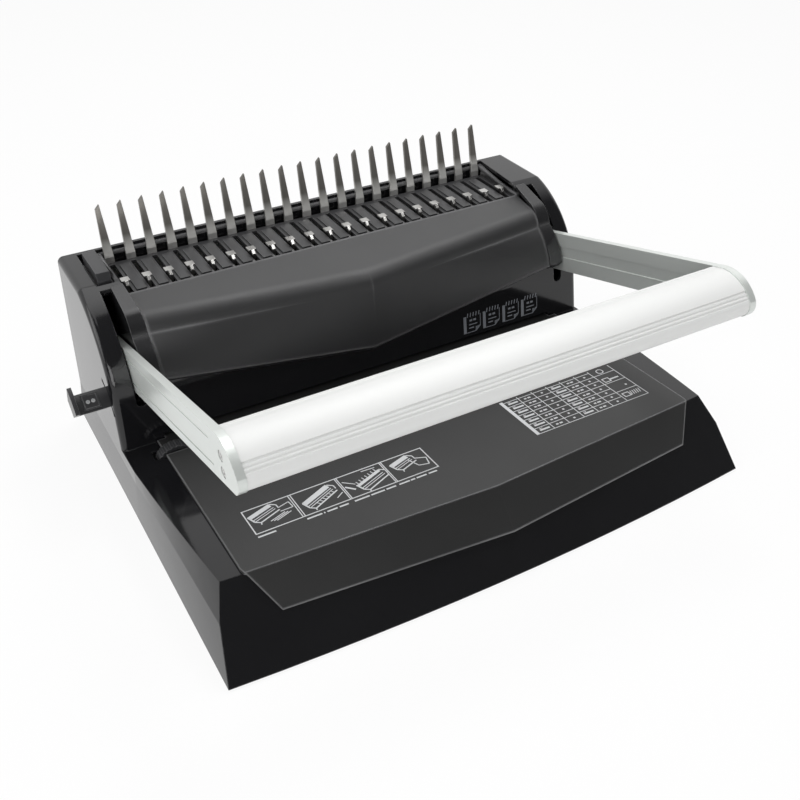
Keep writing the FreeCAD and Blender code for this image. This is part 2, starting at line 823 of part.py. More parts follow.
def slot_grille():
    """Floor of the comb well, with a slot for each hook and a rib between slots."""
    low = grille_z - grille_thickness
    half = well_half - well_clear
    back = finger_y - well_clear
    floor = box(-half, half, well_front_y + well_clear, back, low, grille_z)
    flange_half = plate_outer - gap
    flange = box(-flange_half, flange_half, well_front_y + well_clear, back,
                 low, low + grille_flange)
    ribs = []
    for x in hole_places[:-1]:
        middle = x + comb_pitch / 2.0
        ribs.append(box(middle - rib_width / 2.0, middle + rib_width / 2.0,
                        slot_front_y + rib_front, slot_rear_y - rib_rear, grille_z - spare,
                        grille_z + rib_height))
    floor = fused([floor, flange] + ribs)
    return cut_all(floor, [grille_slot(x, low - spare, grille_z + spare) for x in hole_places])


def comb_finger(x):
    """One fixed finger: upright foot, then a tapered blade that leans back to a slanted tip."""
    half = finger_width / 2.0
    tip = finger_tip_width / 2.0
    foot = box(x - half, x + half, finger_y, finger_rear_y, frame_top_z - spare, finger_bend_z)
    low = [(x - half, finger_y, finger_bend_z), (x + half, finger_y, finger_bend_z),
           (x + half, finger_rear_y, finger_bend_z), (x - half, finger_rear_y, finger_bend_z)]
    front = finger_y + finger_shift
    rear = finger_rear_y + finger_shift
    high = [(x - tip, front, finger_tip_z - finger_bevel), (x + tip, front, finger_tip_z),
            (x + tip, rear, finger_tip_z), (x - tip, rear, finger_tip_z - finger_bevel)]
    return foot.fuse(Part.makeLoft([polygon(low), polygon(high)], True, True))


def finger_screw_places():
    return [hole_places[i] + comb_pitch / 2.0 for i in finger_screw_gaps]


def finger_plate():
    """Steel strip with 21 fixed fingers that hold the back of the comb."""
    strip = box(-plate_outer, plate_outer, finger_y, finger_rear_y, finger_strip_z, frame_top_z)
    plate = fused([strip] + [comb_finger(x) for x in hole_places])
    return cut_all(plate, [rod_y(x, finger_y - spare, finger_rear_y + spare, rail_mid_z,
                                 screw_radius + fit) for x in finger_screw_places()])


def finger_rail():
    """Cross bar between the side plates that the finger plate is screwed to."""
    rail = box(-plate_inner, plate_inner, rail_y, finger_y, rail_z0, rail_z1)
    holes = [rod_y(x, rail_y - spare, finger_y + spare, rail_mid_z, screw_radius + touch)
             for x in finger_screw_places()]
    return cut_all(rail, holes + end_screw_holes([(rail_hole_y, rail_mid_z)]))


def finger_screws():
    screws = []
    for x in finger_screw_places():
        head = rod_y(x, finger_rear_y, finger_rear_y + screw_head_height, rail_mid_z, screw_head)
        stem = rod_y(x, rail_y + spare, finger_rear_y, rail_mid_z, screw_radius)
        screws.append(head.fuse(stem))
    return Part.makeCompound(screws)


def hook_plate():
    """Sliding plate with a bent-up hook in each slot; its ears run in the side plates."""
    front = hook_rear_y - hook_plate_depth
    top = hook_plate_z + hook_sheet
    nose = grille_z + hook_top_rise
    plate = box(-plate_inner + spare, plate_inner - spare, front, hook_rear_y, hook_plate_z, top)
    ears = box(-plate_outer - ear_reach, plate_outer + ear_reach, front + ear_inset,
               hook_rear_y - ear_inset, hook_plate_z, top)
    tip_y = hook_rear_y + hook_reach
    stem = [(hook_rear_y - hook_stem, top - spare), (hook_rear_y, top - spare),
            (hook_rear_y, nose - hook_lip - 1.5), (tip_y, nose - hook_lip), (tip_y, nose),
            (hook_rear_y - 1.0, nose), (hook_rear_y - hook_stem, nose - hook_lip - 1.0)]
    hooks = []
    for x in hole_places:
        hooks.append(side_prism(stem, x - hook_half, x + hook_half))
        hooks.append(box(x - hook_top_half, x + hook_top_half, hook_rear_y - 0.5, tip_y,
                         nose - hook_lip, nose))
    return fused([plate, ears] + hooks)


def hook_rack():
    """Rack under the hook plate; the sector gear below drives it to and fro."""
    outline = rack_line(gear_module, pivot_y - gear_module * math.pi, rack_z, rack_spaces)
    end = outline[-1][0] + spare
    outline += [(end, outline[-1][1]), (end, hook_plate_z), (outline[0][0], hook_plate_z)]
    return side_prism(outline, -gear_width / 2.0, gear_width / 2.0)


# --- handle -------------------------------------------------------------------------------
def arm_point(along, up):
    """Point (y, z) at a distance along the arm from the pivot and above its centre line."""
    a = math.radians(handle_angle)
    return (pivot_y - along * math.cos(a) + up * math.sin(a),
            pivot_z + along * math.sin(a) + up * math.cos(a))


def arm_prism(points, x0, x1):
    """Extrude an outline given as distances along the arm and above its centre line."""
    return side_prism([arm_point(*p) for p in points], x0, x1)


def arm_strip(start, end, low, high, x0, x1):
    return arm_prism([(start, low), (end, low), (end, high), (start, high)], x0, x1)


def nose_edges(x, start, inset):
    """Rounded nose of the handle: flat top, long front curve, tight lower curve."""
    half = arm_height / 2.0 - inset
    reach = nose_reach - inset
    top = arm_point(nose_reach - nose_flat, half)
    shoulder = arm_point(reach - nose_shoulder, half - 7.0)
    front = arm_point(reach, -4.0)
    chin = arm_point(reach - 1.6, -nose_chin_drop)
    foot = arm_point(reach - nose_foot, -half)
    return [side_line(x, arm_point(start, half), top), side_arc(x, top, shoulder, front),
            side_arc(x, front, chin, foot), side_line(x, foot, arm_point(start, -half))]


def grip_screw_places():
    return [arm_point(nose_reach - back, up) for back, up in grip_screw_offsets]


def handle_arm():
    """Right arm: flat bar with a round pivot end, a nose and long shallow grooves."""
    half = arm_height / 2.0
    back = side_arc(arm_inner, arm_point(0.0, -half), arm_point(-half, 0.0),
                    arm_point(0.0, half))
    bar = extrude_edges(nose_edges(arm_inner, 0.0, 0.0) + [back], arm_inner, arm_outer)
    outside = arm_outer + spare
    cuts = []
    for low, high, x0, x1 in arm_grooves:
        cuts.append(arm_strip(arm_groove_start, arm_groove_end, low, high, x0, x1))
    for y, z in grip_screw_places():
        cuts.append(rod_x(arm_inner - spare, outside, y, z, screw_radius + fit))
        cuts.append(rod_x(arm_outer - screw_head_height, outside, y, z, screw_head + gap))
    cuts.append(square_bar(arm_inner - spare, outside, square_half + fit))
    return cut_all(bar, cuts)


def square_bar(x0, x1, half):
    """Square drive at the shaft's end, turned with the handle."""
    return arm_strip(-half, half, -half, half, x0, x1)


def grip_profile(inset, start):
    half = arm_height / 2.0 - inset
    x = -arm_inner + touch
    back = side_line(x, arm_point(start, -half), arm_point(start, half))
    return extrude_edges(nose_edges(x, start, inset) + [back], x, -x)


def handle_grip():
    """Hollow extruded grip between the arms, with two screw tubes and fine grooves."""
    end = arm_inner - touch
    outer = end + spare
    half = arm_height / 2.0 - grip_inset
    core = grip_profile(grip_inset + grip_wall, grip_start + grip_wall)
    tubes = [rod_x(-end, end, y, z, grip_tube_radius) for y, z in grip_screw_places()]
    web = arm_strip(grip_web_start, grip_web_end, -half + spare, half - spare, -end, end)
    body = grip_profile(grip_inset, grip_start).cut(core).multiFuse(tubes + [web])
    cuts = [rod_x(-outer, outer, y, z, screw_radius + touch) for y, z in grip_screw_places()]
    for back, up in grip_grooves:
        y, z = arm_point(nose_reach - back, up)
        cuts.append(rod_x(-outer, outer, y, z, grip_groove_radius))
    return cut_all(body, cuts).removeSplitter()


def grip_screws():
    screws = []
    seat = arm_outer - screw_head_height
    for y, z in grip_screw_places():
        head = rod_x(seat, arm_outer - gap, y, z, screw_head)
        screws.append(head.fuse(rod_x(seat - grip_screw_length, seat, y, z, screw_radius)))
    return both_sides(screws)


def main_shaft():
    """Cross shaft that carries the handle arms, the sector gear and the cams."""
    core = rod_x(-arm_inner, arm_inner, pivot_y, pivot_z, shaft_radius)
    ends = square_bar(-arm_outer, arm_outer, square_half)
    ends = ends.common(rod_x(-arm_outer, arm_outer, pivot_y, pivot_z, shaft_radius))
    thread = rod_x(-arm_outer - spare, arm_outer + spare, pivot_y, pivot_z,
                   hub_screw_radius + touch)
    return fused([core, ends]).cut(thread)


def hub_screws():
    head = rod_x(arm_outer, arm_outer + hub_screw_head_height, pivot_y, pivot_z, hub_screw_head)
    stem = rod_x(arm_outer - screw_length, arm_outer, pivot_y, pivot_z, hub_screw_radius)
    return both_sides([head.fuse(stem)])


def shaft_bushings():
    inner = plate_inner - bush_depth
    flange = rod_x(plate_outer, plate_outer + bush_lip, pivot_y, pivot_z, bush_flange)
    sleeve = rod_x(inner, plate_outer, pivot_y, pivot_z, bush_radius)
    bore = rod_x(inner - spare, plate_outer + bush_lip + spare, pivot_y, pivot_z,
                 shaft_radius + fit)
    return both_sides([flange.fuse(sleeve).cut(bore)])


def sector_gear():
    """Toothed sector on the shaft; its teeth mesh with the rack over the pivot."""
    x0 = -gear_width / 2.0
    root = pitch_radius - tooth_root * gear_module
    step = 2.0 * math.pi / gear_teeth
    start = (gear_first - 0.4) * step
    end = (gear_last + 0.4) * step

    def place(angle):
        return (-root * math.sin(angle), root * math.cos(angle))
    middle = place((start + end) / 2.0)
    edges = [side_line(x0, (0.0, 0.0), place(start)), side_arc(x0, place(start), middle, place(end)),
             side_line(x0, place(end), (0.0, 0.0))]
    teeth = [wheel_tooth(gear_module, gear_teeth, i * step, x0, -x0)
             for i in range(gear_first, gear_last + 1)]
    hub = rod_x(x0 - hub_side, -x0 + hub_side, 0.0, 0.0, gear_hub)
    gear = fused([extrude_edges(edges, x0, -x0), hub] + teeth)
    bore_end = hub_side + spare - x0
    gear = gear.cut(rod_x(-bore_end, bore_end, 0.0, 0.0, shaft_radius))
    gear.translate(Vector(0, pivot_y, pivot_z))
    return gear


def cam_point(turn):
    """Point of the cam that touches the beam after the shaft has turned by an angle."""
    lift = cam_rest + cam_rate * turn
    return (pivot_y - lift * math.sin(turn) - cam_rate * math.cos(turn),
            pivot_z - lift * math.cos(turn) + cam_rate * math.sin(turn))


def punch_cams():
    """Two cams with an even rise: an equal turn of the shaft always gives an equal push."""
    start = -math.radians(handle_up + cam_spare_angle)
    end = math.radians(handle_down + cam_spare_angle)
    x0 = cam_x - cam_width / 2.0
    points = [cam_point(between(start, end, i / cam_steps)) for i in range(cam_steps + 1)]
    curve = Part.BSplineCurve()
    curve.interpolate([Vector(x0, y, z) for y, z in points])
    front = (pivot_y - shaft_radius - 5.0, pivot_z + 1.0)
    top = (pivot_y - 3.0, pivot_z + shaft_radius + 3.0)
    rear = (pivot_y + shaft_radius + 2.6, pivot_z - 1.0)
    edges = [curve.toShape(), side_line(x0, points[-1], front),
             side_arc(x0, front, top, rear), side_line(x0, rear, points[0])]
    cam = extrude_edges(edges, x0, x0 + cam_width)
    bore = rod_x(x0 - spare, x0 + cam_width + spare, pivot_y, pivot_z, shaft_radius)
    return both_sides([cam.cut(bore)])


# --- punch --------------------------------------------------------------------------------
def punch_blank(x, z0, z1, clearance):
    half = hole_width / 2.0 + clearance
    deep = hole_depth / 2.0 + clearance
    return box(x - half, x + half, punch_y - deep, punch_y + deep, z0, z1)


def punch_beam():
    """Steel beam that drives the pins; lugs in front of it hold the return springs."""
    front = punch_y - beam_depth / 2.0
    half = plate_inner - spare
    beam = box(-half, half, front, front + beam_depth, beam_foot_z, beam_top_z)
    lug_front = spring_y - spring_radius - 1.5
    lugs = [box(x - lug_half, x + lug_half, lug_front, front + spare, beam_foot_z,
                beam_foot_z + lug_height) for x in (-lug_x, lug_x)]
    return cut_all(fused([beam] + lugs), [punch_blank(x, beam_foot_z - spare,
                                                      beam_foot_z + pin_seat, touch)
                                          for x in hole_places])


def punch_pins():
    return Part.makeCompound([punch_blank(x, sheet_z - pin_entry, beam_foot_z + pin_seat, 0.0)
                              for x in hole_places])


def end_screw_holes(places):
    """Threaded holes in both ends of a cross member between the side plates."""
    holes = []
    for y, z in places:
        hole = rod_x(plate_inner - screw_length, plate_inner + spare, y, z, screw_radius + touch)
        holes += [hole, mirrored(hole)]
    return holes


def punched_plate(front_y, z0):
    plate = box(-plate_inner, plate_inner, front_y, die_rear_y, z0, z0 + die_thickness)
    cuts = [punch_blank(x, z0 - spare, z0 + die_thickness + spare, fit) for x in hole_places]
    return cut_all(plate, cuts + end_screw_holes([(y, z0 + die_thickness / 2.0)
                                                  for y in die_screw_ys]))


def die_plate():
    return punched_plate(plate_front_y, sheet_z - die_thickness)


def punch_guide_plate():
    return punched_plate(plate_front_y + guide_plate_step, guide_plate_z)


def return_springs():
    """Two tension springs between the front tie rod and the beam's lugs."""
    foot = beam_foot_z + lug_height + spring_wire + touch
    height = tie_places[0][1] - tie_radius - spring_wire - touch - foot
    springs = []
    for x in (-lug_x, lug_x):
        path = Part.makeHelix(height / spring_turns, height, spring_radius)
        path.translate(Vector(x, spring_y, foot))
        start = Vector(x + spring_radius, spring_y, foot)
        ring = Part.Wire([Part.makeCircle(spring_wire, start, Vector(0, 1, 0))])
        springs.append(Part.Wire(path).makePipeShell([ring], True, True))
    return Part.makeCompound(springs)


def tie_rods():
    rods = [cut_all(rod_x(-plate_inner, plate_inner, y, z, tie_radius), end_screw_holes([(y, z)]))
            for y, z in tie_places]
    return Part.makeCompound(rods)


# --- inner frame --------------------------------------------------------------------------
def plate_screw_places():
    places = [(y, sheet_z - die_thickness / 2.0) for y in die_screw_ys]
    places += [(y, guide_plate_z + die_thickness / 2.0) for y in die_screw_ys]
    return places + tie_places + [(rail_hole_y, rail_mid_z)]


def side_plate():
    """Right side plate: carries the shaft, the punch plates, the hooks and the fingers."""
    outline = [(plate_front_y, floor_z), (finger_y, floor_z), (finger_y, frame_top_z),
               (plate_front_y + plate_nose_y, frame_top_z),
               (plate_front_y + plate_slope_y, frame_top_z - plate_nose_z),
               (plate_front_y, frame_top_z - plate_slope_z)]
    inner = plate_inner - spare
    outer = plate_outer + spare
    foot = box(plate_outer - spare, plate_outer + flange_width, plate_front_y, finger_y,
               floor_z, floor_z + plate_thickness)
    plate = fused([side_prism(outline, plate_inner, plate_outer), foot])
    cuts = [rod_x(inner, outer, pivot_y, pivot_z, bush_radius + touch)]
    cuts.append(box(inner, outer, ear_slot_front_y, ear_slot_rear_y, hook_plate_z - 2.0 * fit,
                    hook_plate_z + hook_sheet + 2.0 * fit))
    cuts.append(box(inner, outer, stop_y0 - stop_play, stop_y1 + stop_play, sheet_z,
                    guide_plate_z))
    cuts += [rod_x(inner, outer, y, z, screw_radius + touch) for y, z in plate_screw_places()]
    cuts += [rod_z(x, y, floor_z - spare, floor_z + 2.0 * plate_thickness,
                   screw_radius + touch) for x, y in frame_screw_places() if x > 0]
    return cut_all(plate, cuts)


def plate_screws():
    screws = []
    for y, z in plate_screw_places():
        head = rod_x(plate_outer, plate_outer + screw_head_height, y, z, screw_head)
        screws.append(head.fuse(rod_x(plate_outer - screw_length, plate_outer, y, z,
                                      screw_radius)))
    return both_sides(screws)


# --- paper depth stop and its lever -------------------------------------------------------
def back_stop():
    """Sliding bar between the punch plates; a bent-up tab outside takes the crank pin."""
    z0 = sheet_z + stop_clear
    z1 = guide_plate_z - stop_clear
    pin_z = lever_z + crank_radius
    bar = box(tab_x0, plate_outer, stop_y0, stop_y1, z0, z1)
    tab = box(tab_x0, tab_x1, lever_y - tab_half, lever_y + tab_half, z0, pin_z + tab_half)
    half = crank_pin + 2.0 * fit
    slot = box(tab_x0 - spare, tab_x1 + spare, lever_y - half, lever_y + half,
               pin_z - slot_half, pin_z + slot_half)
    return fused([bar, tab]).cut(slot)


def depth_lever():
    """Lever with a stub shaft and crank pin inside and a thumb paddle outside the wall."""
    half = math.degrees(math.asin(lever_half_width / lever_radius))
    web_x = crank_face_x - plate_thickness
    spoke_x1 = spoke_x0 + lever_sheet
    pin_z = lever_z + crank_radius
    crank = [rod_x(web_x, crank_face_x, lever_y, lever_z, crank_boss),
             box(web_x, crank_face_x, lever_y - crank_eye, lever_y + crank_eye, lever_z, pin_z),
             rod_x(web_x, crank_face_x, lever_y, pin_z, crank_eye),
             rod_x(crank_face_x, tab_x1 - gap, lever_y, pin_z, crank_pin),
             rod_x(spoke_x0, crank_face_x, lever_y, lever_z, lever_stub_radius)]
    spoke = side_prism([lever_point(lever_stub_radius, lever_angle - 90.0),
                        lever_point(lever_stub_radius, lever_angle + 90.0),
                        lever_point(lever_radius, lever_angle + spoke_spread),
                        lever_point(lever_radius, lever_angle - spoke_spread)],
                       spoke_x0, spoke_x1)
    neck = lever_sector(-lever_reach + spare, spoke_x1, lever_radius, spare, half)
    paddle = lever_sector(-lever_reach, -flank_foot_half - paddle_gap,
                          lever_radius - lever_sheet / 2.0, paddle_half, half)
    flange = lever_sector(-lever_reach, -lever_reach + lever_sheet,
                          lever_radius + 2.0 * paddle_half, flange_half, half)
    return fused(crank + [spoke, neck, paddle, flange])


def lever_bracket():
    """Upright on the bottom plate that carries the depth lever's stub shaft."""
    y0 = lever_y - bracket_half
    y1 = lever_y + bracket_half
    upright = box(bracket_x - bracket_sheet, bracket_x, y0, y1, floor_z, lever_z + crank_radius)
    foot = box(bracket_x - bracket_foot, bracket_x, y0, y1, floor_z, floor_z + plate_thickness)
    cuts = [rod_x(bracket_x - bracket_sheet - spare, bracket_x + spare, lever_y, lever_z,
                  lever_stub_radius + fit)]
    cuts += [rod_z(x, y, floor_z - spare, floor_z + 2.0 * plate_thickness,
                   screw_radius + touch) for x, y in frame_screw_places() if x < bracket_x]
    return cut_all(fused([upright, foot]), cuts)


# --- edge guide ---------------------------------------------------------------------------
def edge_wheel():
    """Ribbed thumb wheel that stands out of the deck, with its spindle and crank pin."""
    grooves = []
    reach = wheel_radius + wheel_groove / 2.0
    for i in range(wheel_ribs):
        a = 2.0 * math.pi * i / wheel_ribs
        grooves.append(rod_y(wheel_x + reach * math.cos(a), wheel_y0 - spare, wheel_y1 + spare,
                             wheel_z + reach * math.sin(a), wheel_groove))
    dish = rod_y(wheel_x, wheel_y0 - spare, wheel_y0 + wheel_dish, wheel_z,
                 wheel_radius - wheel_rim)
    wheel = cut_all(rod_y(wheel_x, wheel_y0, wheel_y1, wheel_z, wheel_radius), grooves + [dish])
    web_y = guide_bar_y0 - spare - guide_web
    pin_z = wheel_z - guide_crank
    web_end = web_y + guide_web
    spindle = rod_y(wheel_x, wheel_y0 - 6.0, web_end, wheel_z, spindle_radius)
    crank = [rod_y(wheel_x, web_y, web_end, wheel_z, crank_boss),
             rod_y(wheel_x, web_y, web_end, pin_z, crank_eye),
             box(wheel_x - crank_eye, wheel_x + crank_eye, web_y, web_end, pin_z, wheel_z),
             rod_y(wheel_x, web_end, guide_bar_y1, pin_z, guide_pin)]
    return fused([wheel, spindle] + crank)


def edge_guide():
    """Sliding bar driven by the crank pin, with the paper stop that stands in the throat."""
    arm_z = floor_z + tray_height + spare
    pin_z = wheel_z - guide_crank
    plate_z = arm_z + guide_arm_height
    bar = box(wheel_x - guide_bar_half, wheel_x + guide_bar_half, guide_bar_y0, guide_bar_y1,
              guide_bar_z0, guide_bar_z1)
    plate = box(wheel_x - 6.0, guide_x1, guide_bar_y0, guide_bar_y1, guide_bar_z0, plate_z)
    arm = box(guide_x0, guide_x1, guide_bar_y0, guide_y1, arm_z, plate_z)
    tab = box(guide_x0, guide_x1, guide_y0, guide_y1, arm_z, guide_plate_z - stop_clear)
    half = guide_pin + 2.0 * fit
    slot = box(wheel_x - half, wheel_x + half, guide_bar_y0 - spare, guide_bar_y1 + spare,
               pin_z - 1.8, pin_z + 2.6)
    return fused([bar, plate, arm, tab]).cut(slot)


# --- comb size slider ---------------------------------------------------------------------
def comb_size_slider():
    """Block on the left tower with a foot that runs under the housing's edge."""
    y1 = slider_y0 + slider_length
    low = tower_under_z - slider_foot
    top = tower_top_z + slider_height
    block = side_prism([(slider_y0 + 2.0, top), (slider_y0, tower_top_z + spare),
                        (slider_y0, low), (y1, low), (y1, top)], slider_x0, slider_x1)
    foot = box(slider_x0 - slider_foot_lap, slider_x1, slider_y0, y1, low, tower_under_z - gap)
    return fused([block, foot])


# --- chip tray ----------------------------------------------------------------------------
def chip_tray():
    """Open drawer under the punches, with a finger pull on its back panel."""
    z0 = floor_z + gap
    z1 = z0 + tray_height
    inner = tray_half - tray_wall
    body = box(-tray_half, tray_half, tray_front_y, tray_back_y, z0, z1)
    inside = box(-inner, inner, tray_front_y + tray_wall, tray_back_y - tray_back_wall,
                 z0 + tray_wall, z1 + spare)
    pull = box(-pull_half, pull_half, tray_back_y - spare, tray_back_y + pull_reach,
               z1 - pull_drop - pull_height, z1 - pull_drop)
    return fused([body.cut(inside), pull])


# --- export -------------------------------------------------------------------------------
nodes = {
    "main_housing": main_housing,
    "bottom_plate": bottom_plate,
    "rubber_feet": rubber_feet,
    "base_screws": base_screws,
    "frame_screws": frame_screws,
    "table_plate": table_plate,
    "hood": hood,
    "hood_end_cap_right": hood_end_cap,
    "hood_end_cap_left": lambda: mirrored(hood_end_cap()),
    "slot_grille": slot_grille,
    "finger_plate": finger_plate,
    "finger_rail": finger_rail,
    "finger_screws": finger_screws,
    "hook_plate": hook_plate,
    "hook_rack": hook_rack,
    "handle_arm_right": handle_arm,
    "handle_arm_left": lambda: mirrored(handle_arm()),
    "handle_grip": handle_grip,
    "grip_screws": grip_screws,
    "main_shaft": main_shaft,
    "hub_screws": hub_screws,
    "shaft_bushings": shaft_bushings,
    "sector_gear": sector_gear,
    "punch_cams": punch_cams,
    "punch_beam": punch_beam,
    "punch_pins": punch_pins,
    "die_plate": die_plate,
    "punch_guide_plate": punch_guide_plate,
    "return_springs": return_springs,
    "tie_rods": tie_rods,
    "side_plate_right": side_plate,
    "side_plate_left": lambda: mirrored(side_plate()),
    "plate_screws": plate_screws,
    "back_stop": back_stop,
    "depth_lever": depth_lever,
    "lever_bracket": lever_bracket,
    "edge_wheel": edge_wheel,
    "edge_guide": edge_guide,
    "comb_size_slider": comb_size_slider,
    "chip_tray": chip_tray,
}


def export(name, shape):
    """Move a piece so that the machine's box stands centred on the origin, and write it."""
    shape.translate(Vector(-centre_x, -centre_y, 0))
    shape.exportStep("parts/" + name + ".step")
    print(name, len(shape.Solids), shape.isValid(), round(shape.Volume / 1000.0, 2))


os.makedirs("parts", exist_ok=True)
for node, make in nodes.items():
    export(node, make())
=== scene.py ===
import json
import math

import bpy
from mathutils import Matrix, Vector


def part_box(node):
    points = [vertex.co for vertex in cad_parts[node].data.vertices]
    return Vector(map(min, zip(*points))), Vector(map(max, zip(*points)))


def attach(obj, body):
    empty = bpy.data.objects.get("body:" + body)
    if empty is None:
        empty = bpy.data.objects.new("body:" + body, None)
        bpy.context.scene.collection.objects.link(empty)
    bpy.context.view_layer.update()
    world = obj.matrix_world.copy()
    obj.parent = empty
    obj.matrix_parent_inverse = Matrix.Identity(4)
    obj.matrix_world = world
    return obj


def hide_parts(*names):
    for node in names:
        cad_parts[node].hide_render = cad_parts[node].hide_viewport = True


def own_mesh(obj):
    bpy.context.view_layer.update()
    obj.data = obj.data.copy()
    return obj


# Comb binding machine: a punch and binder for plastic comb spines, with a black plastic
# housing, a grained grey hood and document table, and an aluminium lever handle.
# Lengths are metres and the machine stands centred on the origin with its front to -Y.
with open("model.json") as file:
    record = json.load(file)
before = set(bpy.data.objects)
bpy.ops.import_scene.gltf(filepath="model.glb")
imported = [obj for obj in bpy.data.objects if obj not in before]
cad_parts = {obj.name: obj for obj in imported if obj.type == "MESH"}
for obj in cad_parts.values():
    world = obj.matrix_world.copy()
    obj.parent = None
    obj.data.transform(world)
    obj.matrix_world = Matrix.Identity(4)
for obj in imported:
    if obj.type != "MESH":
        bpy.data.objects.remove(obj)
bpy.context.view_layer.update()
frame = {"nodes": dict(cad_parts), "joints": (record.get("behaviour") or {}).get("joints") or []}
nodes = frame["nodes"]

# --- studio -------------------------------------------------------------------------------
# A wide white floor and a white room under soft light from above. Gloss surfaces see the room
# white behind the machine and low down, and dim high up in front of it, past the lamps.
bpy.context.scene.view_settings.view_transform = "Standard"
bpy.ops.object.select_all(action="DESELECT")
bpy.ops.object.camera_add(location=(-0.2561, -0.4629, 0.4236),
                          rotation=(math.radians(54.11), 0, math.radians(-29.85)))
camera = bpy.context.object
camera.name = "studio_camera"
camera.data.lens = 44.4
camera.data.sensor_width = 36.0
camera.data.clip_start = 0.01
camera.data.clip_end = 60.0
bpy.context.scene.camera = camera


def softbox(name, place, target, size, watts):
    """A rectangular area lamp that faces a point."""
    bpy.ops.object.light_add(type="AREA", location=place)
    lamp = bpy.context.object
    lamp.name = name
    lamp.data.shape = "RECTANGLE"
    lamp.data.size, lamp.data.size_y = size
    lamp.data.energy = watts
    away = lamp.location - type(lamp.location)(target)
    lamp.rotation_euler = away.to_track_quat("Z", "Y").to_euler()


def ramp(web, value, start, stop, low=0.0, high=1.0, smooth=False):
    """A level that goes from low to high while the value goes from start to stop."""
    slope = web.nodes.new("ShaderNodeMapRange")
    if smooth:
        slope.interpolation_type = "SMOOTHSTEP"
    slope.inputs["From Min"].default_value = start
    slope.inputs["From Max"].default_value = stop
    slope.inputs["To Min"].default_value = low
    slope.inputs["To Max"].default_value = high
    web.links.new(value, slope.inputs["Value"])
    return slope.outputs["Result"]


def combine(web, operation, first, second):
    """Works one value out of two, the second of them a socket or a number."""
    joined = web.nodes.new("ShaderNodeMath")
    joined.operation = operation
    web.links.new(first, joined.inputs[0])
    if isinstance(second, float):
        joined.inputs[1].default_value = second
    else:
        web.links.new(second, joined.inputs[1])
    return joined.outputs["Value"]


def in_sight(web, path):
    """One for what is seen straight, mirrored or through glass, and zero for soft light."""
    seen = combine(web, "MAXIMUM", path.outputs["Is Camera Ray"], path.outputs["Is Glossy Ray"])
    return combine(web, "MAXIMUM", seen, path.outputs["Is Transmission Ray"])


softbox("overhead_softbox", place=(-0.25, 0.35, 1.6), target=(0.0, 0.0, 0.05), size=(1.3, 1.3),
        watts=5.9)
softbox("crease_strip", place=(0.50, 0.46, 1.3), target=(0.0, 0.05, 0.1), size=(0.6, 0.3),
        watts=5.4)
softbox("hood_strip", place=(0.23, -0.19, 0.64), target=(0.0, 0.08, 0.12), size=(0.30, 0.10),
        watts=0.60)
softbox("left_softbox", place=(-1.5, 0.1, 0.75), target=(-0.1, 0.0, 0.06), size=(1.0, 1.0),
        watts=6.0)
softbox("front_softbox", place=(-0.95, -1.45, 0.55), target=(0.0, 0.0, 0.08), size=(1.1, 0.6),
        watts=7.5)

room_fill = 0.42
room_dim = 0.12
room = bpy.data.worlds.new("white_room")
room.use_nodes = True
bpy.context.scene.world = room
web = room.node_tree
web.nodes.clear()
room_out = web.nodes.new("ShaderNodeOutputWorld")
room_light = web.nodes.new("ShaderNodeBackground")
room_light.inputs["Color"].default_value = (1.0, 1.0, 1.0, 1.0)
room_way = web.nodes.new("ShaderNodeTexCoord")
room_split = web.nodes.new("ShaderNodeSeparateXYZ")
web.links.new(room_way.outputs["Generated"], room_split.inputs["Vector"])
room_front = ramp(web, room_split.outputs["Y"], start=0.20, stop=-0.20, smooth=True)
room_high = ramp(web, room_split.outputs["Z"], start=0.0, stop=0.15, smooth=True)
room_shade = combine(web, "MULTIPLY", room_front, room_high)
room_mirrored = ramp(web, room_shade, start=0.0, stop=1.0, low=1.0, high=room_dim)
room_path = web.nodes.new("ShaderNodeLightPath")
room_seen = combine(web, "MAXIMUM", room_mirrored, room_path.outputs["Is Camera Ray"])
room_level = web.nodes.new("ShaderNodeMix")
room_level.inputs["A"].default_value = room_fill
web.links.new(in_sight(web, room_path), room_level.inputs["Factor"])
web.links.new(room_seen, room_level.inputs["B"])
web.links.new(room_level.outputs["Result"], room_light.inputs["Strength"])
web.links.new(room_light.outputs["Background"], room_out.inputs["Surface"])

bpy.ops.mesh.primitive_circle_add(vertices=96, radius=8.0, fill_type="NGON",
                                  location=(0.0, 0.0, 0.0))
floor = bpy.context.object
floor.name = "white_floor"
floor_glow = 0.90
white_floor = bpy.data.materials.new("white floor paper")
white_floor.use_nodes = True
web = white_floor.node_tree
web.nodes.clear()
floor_out = web.nodes.new("ShaderNodeOutputMaterial")
floor_mix = web.nodes.new("ShaderNodeMixShader")
floor_matt = web.nodes.new("ShaderNodeBsdfDiffuse")
floor_matt.inputs["Color"].default_value = (0.93, 0.93, 0.93, 1.0)
floor_lit = web.nodes.new("ShaderNodeEmission")
floor_lit.inputs["Strength"].default_value = 1.0
floor_path = web.nodes.new("ShaderNodeLightPath")
floor_share = combine(web, "MULTIPLY", in_sight(web, floor_path), floor_glow)
web.links.new(floor_share, floor_mix.inputs["Fac"])
web.links.new(floor_matt.outputs["BSDF"], floor_mix.inputs[1])
web.links.new(floor_lit.outputs["Emission"], floor_mix.inputs[2])
web.links.new(floor_mix.outputs["Shader"], floor_out.inputs["Surface"])
floor.data.materials.append(white_floor)


